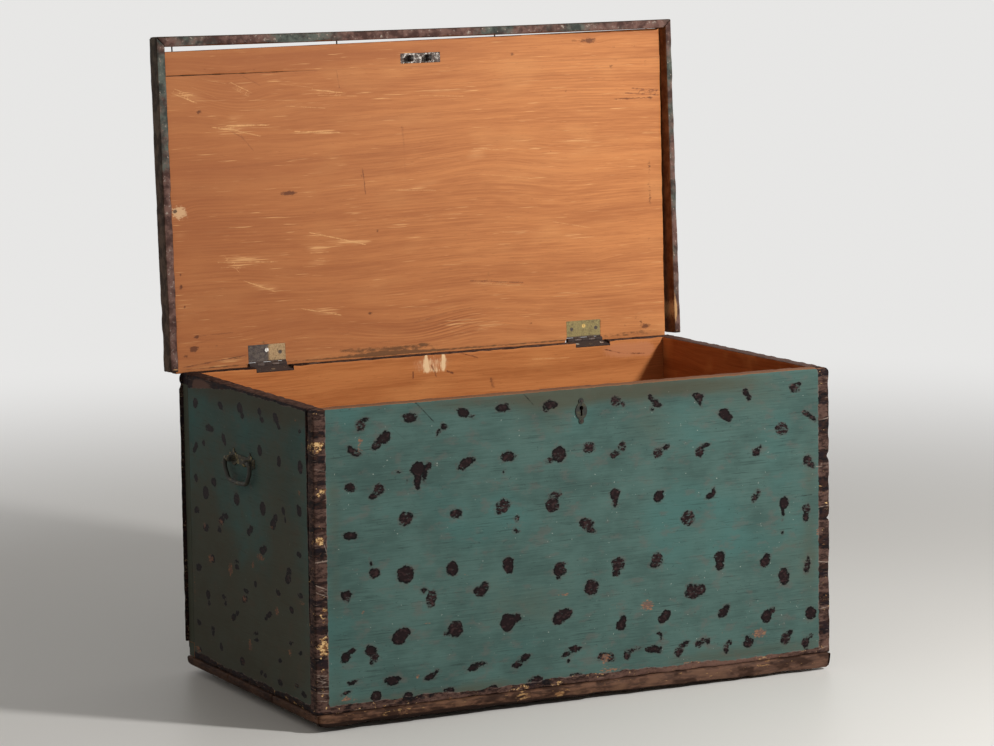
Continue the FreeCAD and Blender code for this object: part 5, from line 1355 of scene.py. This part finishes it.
for side, turn_x, way, brass_light, brass_dark, seed in (
        ("left", -303.0, -1, (0.400, 0.265, 0.135), (0.235, 0.150, 0.070), 111),
        ("right", 390.0, 1, (0.275, 0.215, 0.085), (0.150, 0.115, 0.048), 115)):
    softened("hinge_" + side + "_upper_leaf",
             stained_leaf(side + "_leaf", turn_x, way, brass_light, brass_dark, seed), "lid")
silver = (0.70, 0.67, 0.62)
for level, side, places in (("upper", "left", [(-306, silver, 0.7)]),
                            ("upper", "right", [(300, (0.62, 0.42, 0.14), 0.6)]),
                            ("lower", "left", [(-306, (0.30, 0.24, 0.18), 0.5)]),
                            ("lower", "right", [(276, silver, 0.6), (324, silver, 0.6)])):
    dress(screw_finish(level + "_" + side + "_screws", places), "hinge_" + side + "_" + level + "_screws")
for side in ("left", "right"):
    softened("hinge_" + side + "_lower_leaf", metals["iron"], "carcass")
    dress(metals["iron"], "hinge_" + side + "_pin")
    softened("handle_" + side + "_backplate", metals["rubbed_brass"], "carcass", 0.5)
    dress(metals["rubbed_brass"], "handle_" + side + "_posts")
    dress(metals["dark_brass"], "handle_" + side + "_nuts", "handle_" + side + "_bail")
softened("escutcheon", metals["plate"], "carcass", 0.4)
softened("link_plate", metals["zinc"], "lid")
dress(metals["black"], "link_eyes")
dress(metals["zinc"], "link_screws")
dress(metals["iron"], "escutcheon_pins", "lid_rim_nails", "bottom_nails", "back_nails", "skid_nails",
      "lock_plate", "lock_case", "lock_bolt", "lock_key_post", "lock_screws")

# %% [markdown]
# ## Floor and light
# A plain pale floor carries the shadow. One lamp stands in front and to the right, well above the
# chest, as a window would, and the world fills the shadows softly.

# %% Floor
floor_mesh = bpy.data.meshes.new("floor")
floor_mesh.from_pydata([(-60, -60, 0), (60, -60, 0), (60, 60, 0), (-60, 60, 0)], [], [(0, 1, 2, 3)])
floor = placed("floor", floor_mesh)
floor_finish = Finish("pale_floor")
distance = floor_finish.node("ShaderNodeVectorMath", {"operation": "LENGTH"}, {0: floor_finish.place},
                             output="Value")
pale_grey = (0.80, 0.795, 0.785, 1.0)
glow = floor_finish.node("ShaderNodeEmission", {}, {"Color": pale_grey, "Strength": 1.0})
far = distance.step(1.2, 4.2) * floor_finish.background_rays()
floor_finish.done(Base_Color=(0.775, 0.765, 0.740, 1.0), Roughness=0.45, Specular_IOR_Level=0.2)
near_floor = Wire(floor_finish, floor_finish.shader.outputs[0])
floor_finish.show(floor_finish.node("ShaderNodeMixShader", {}, {0: far, 1: near_floor, 2: glow}))
floor_mesh.materials.append(floor_finish.material)

# %% Lamp
lamp_data = bpy.data.lights.new("key", "AREA")
lamp_data.shape, lamp_data.size, lamp_data.energy = "DISK", 0.34, 90.0
lamp_data.color = (1.0, 0.985, 0.96)
lamp = placed("key", lamp_data)
lamp.location = (1.5, -2.4, 1.95)
lamp.rotation_euler = (Vector((0.05, 0.0, 0.5)) - lamp.location).to_track_quat("-Z", "Y").to_euler()

# %% World
studio = Finish("studio", bpy.data.worlds.new("studio"))
bpy.context.scene.world = studio.material
soft = studio.node("ShaderNodeBackground", {}, {"Color": (1.0, 0.95, 0.89, 1.0), "Strength": 0.275})
pale = studio.node("ShaderNodeBackground", {}, {"Color": pale_grey, "Strength": 1.0})
studio.show(studio.node("ShaderNodeMixShader", {}, {0: studio.background_rays(), 1: soft, 2: pale}))
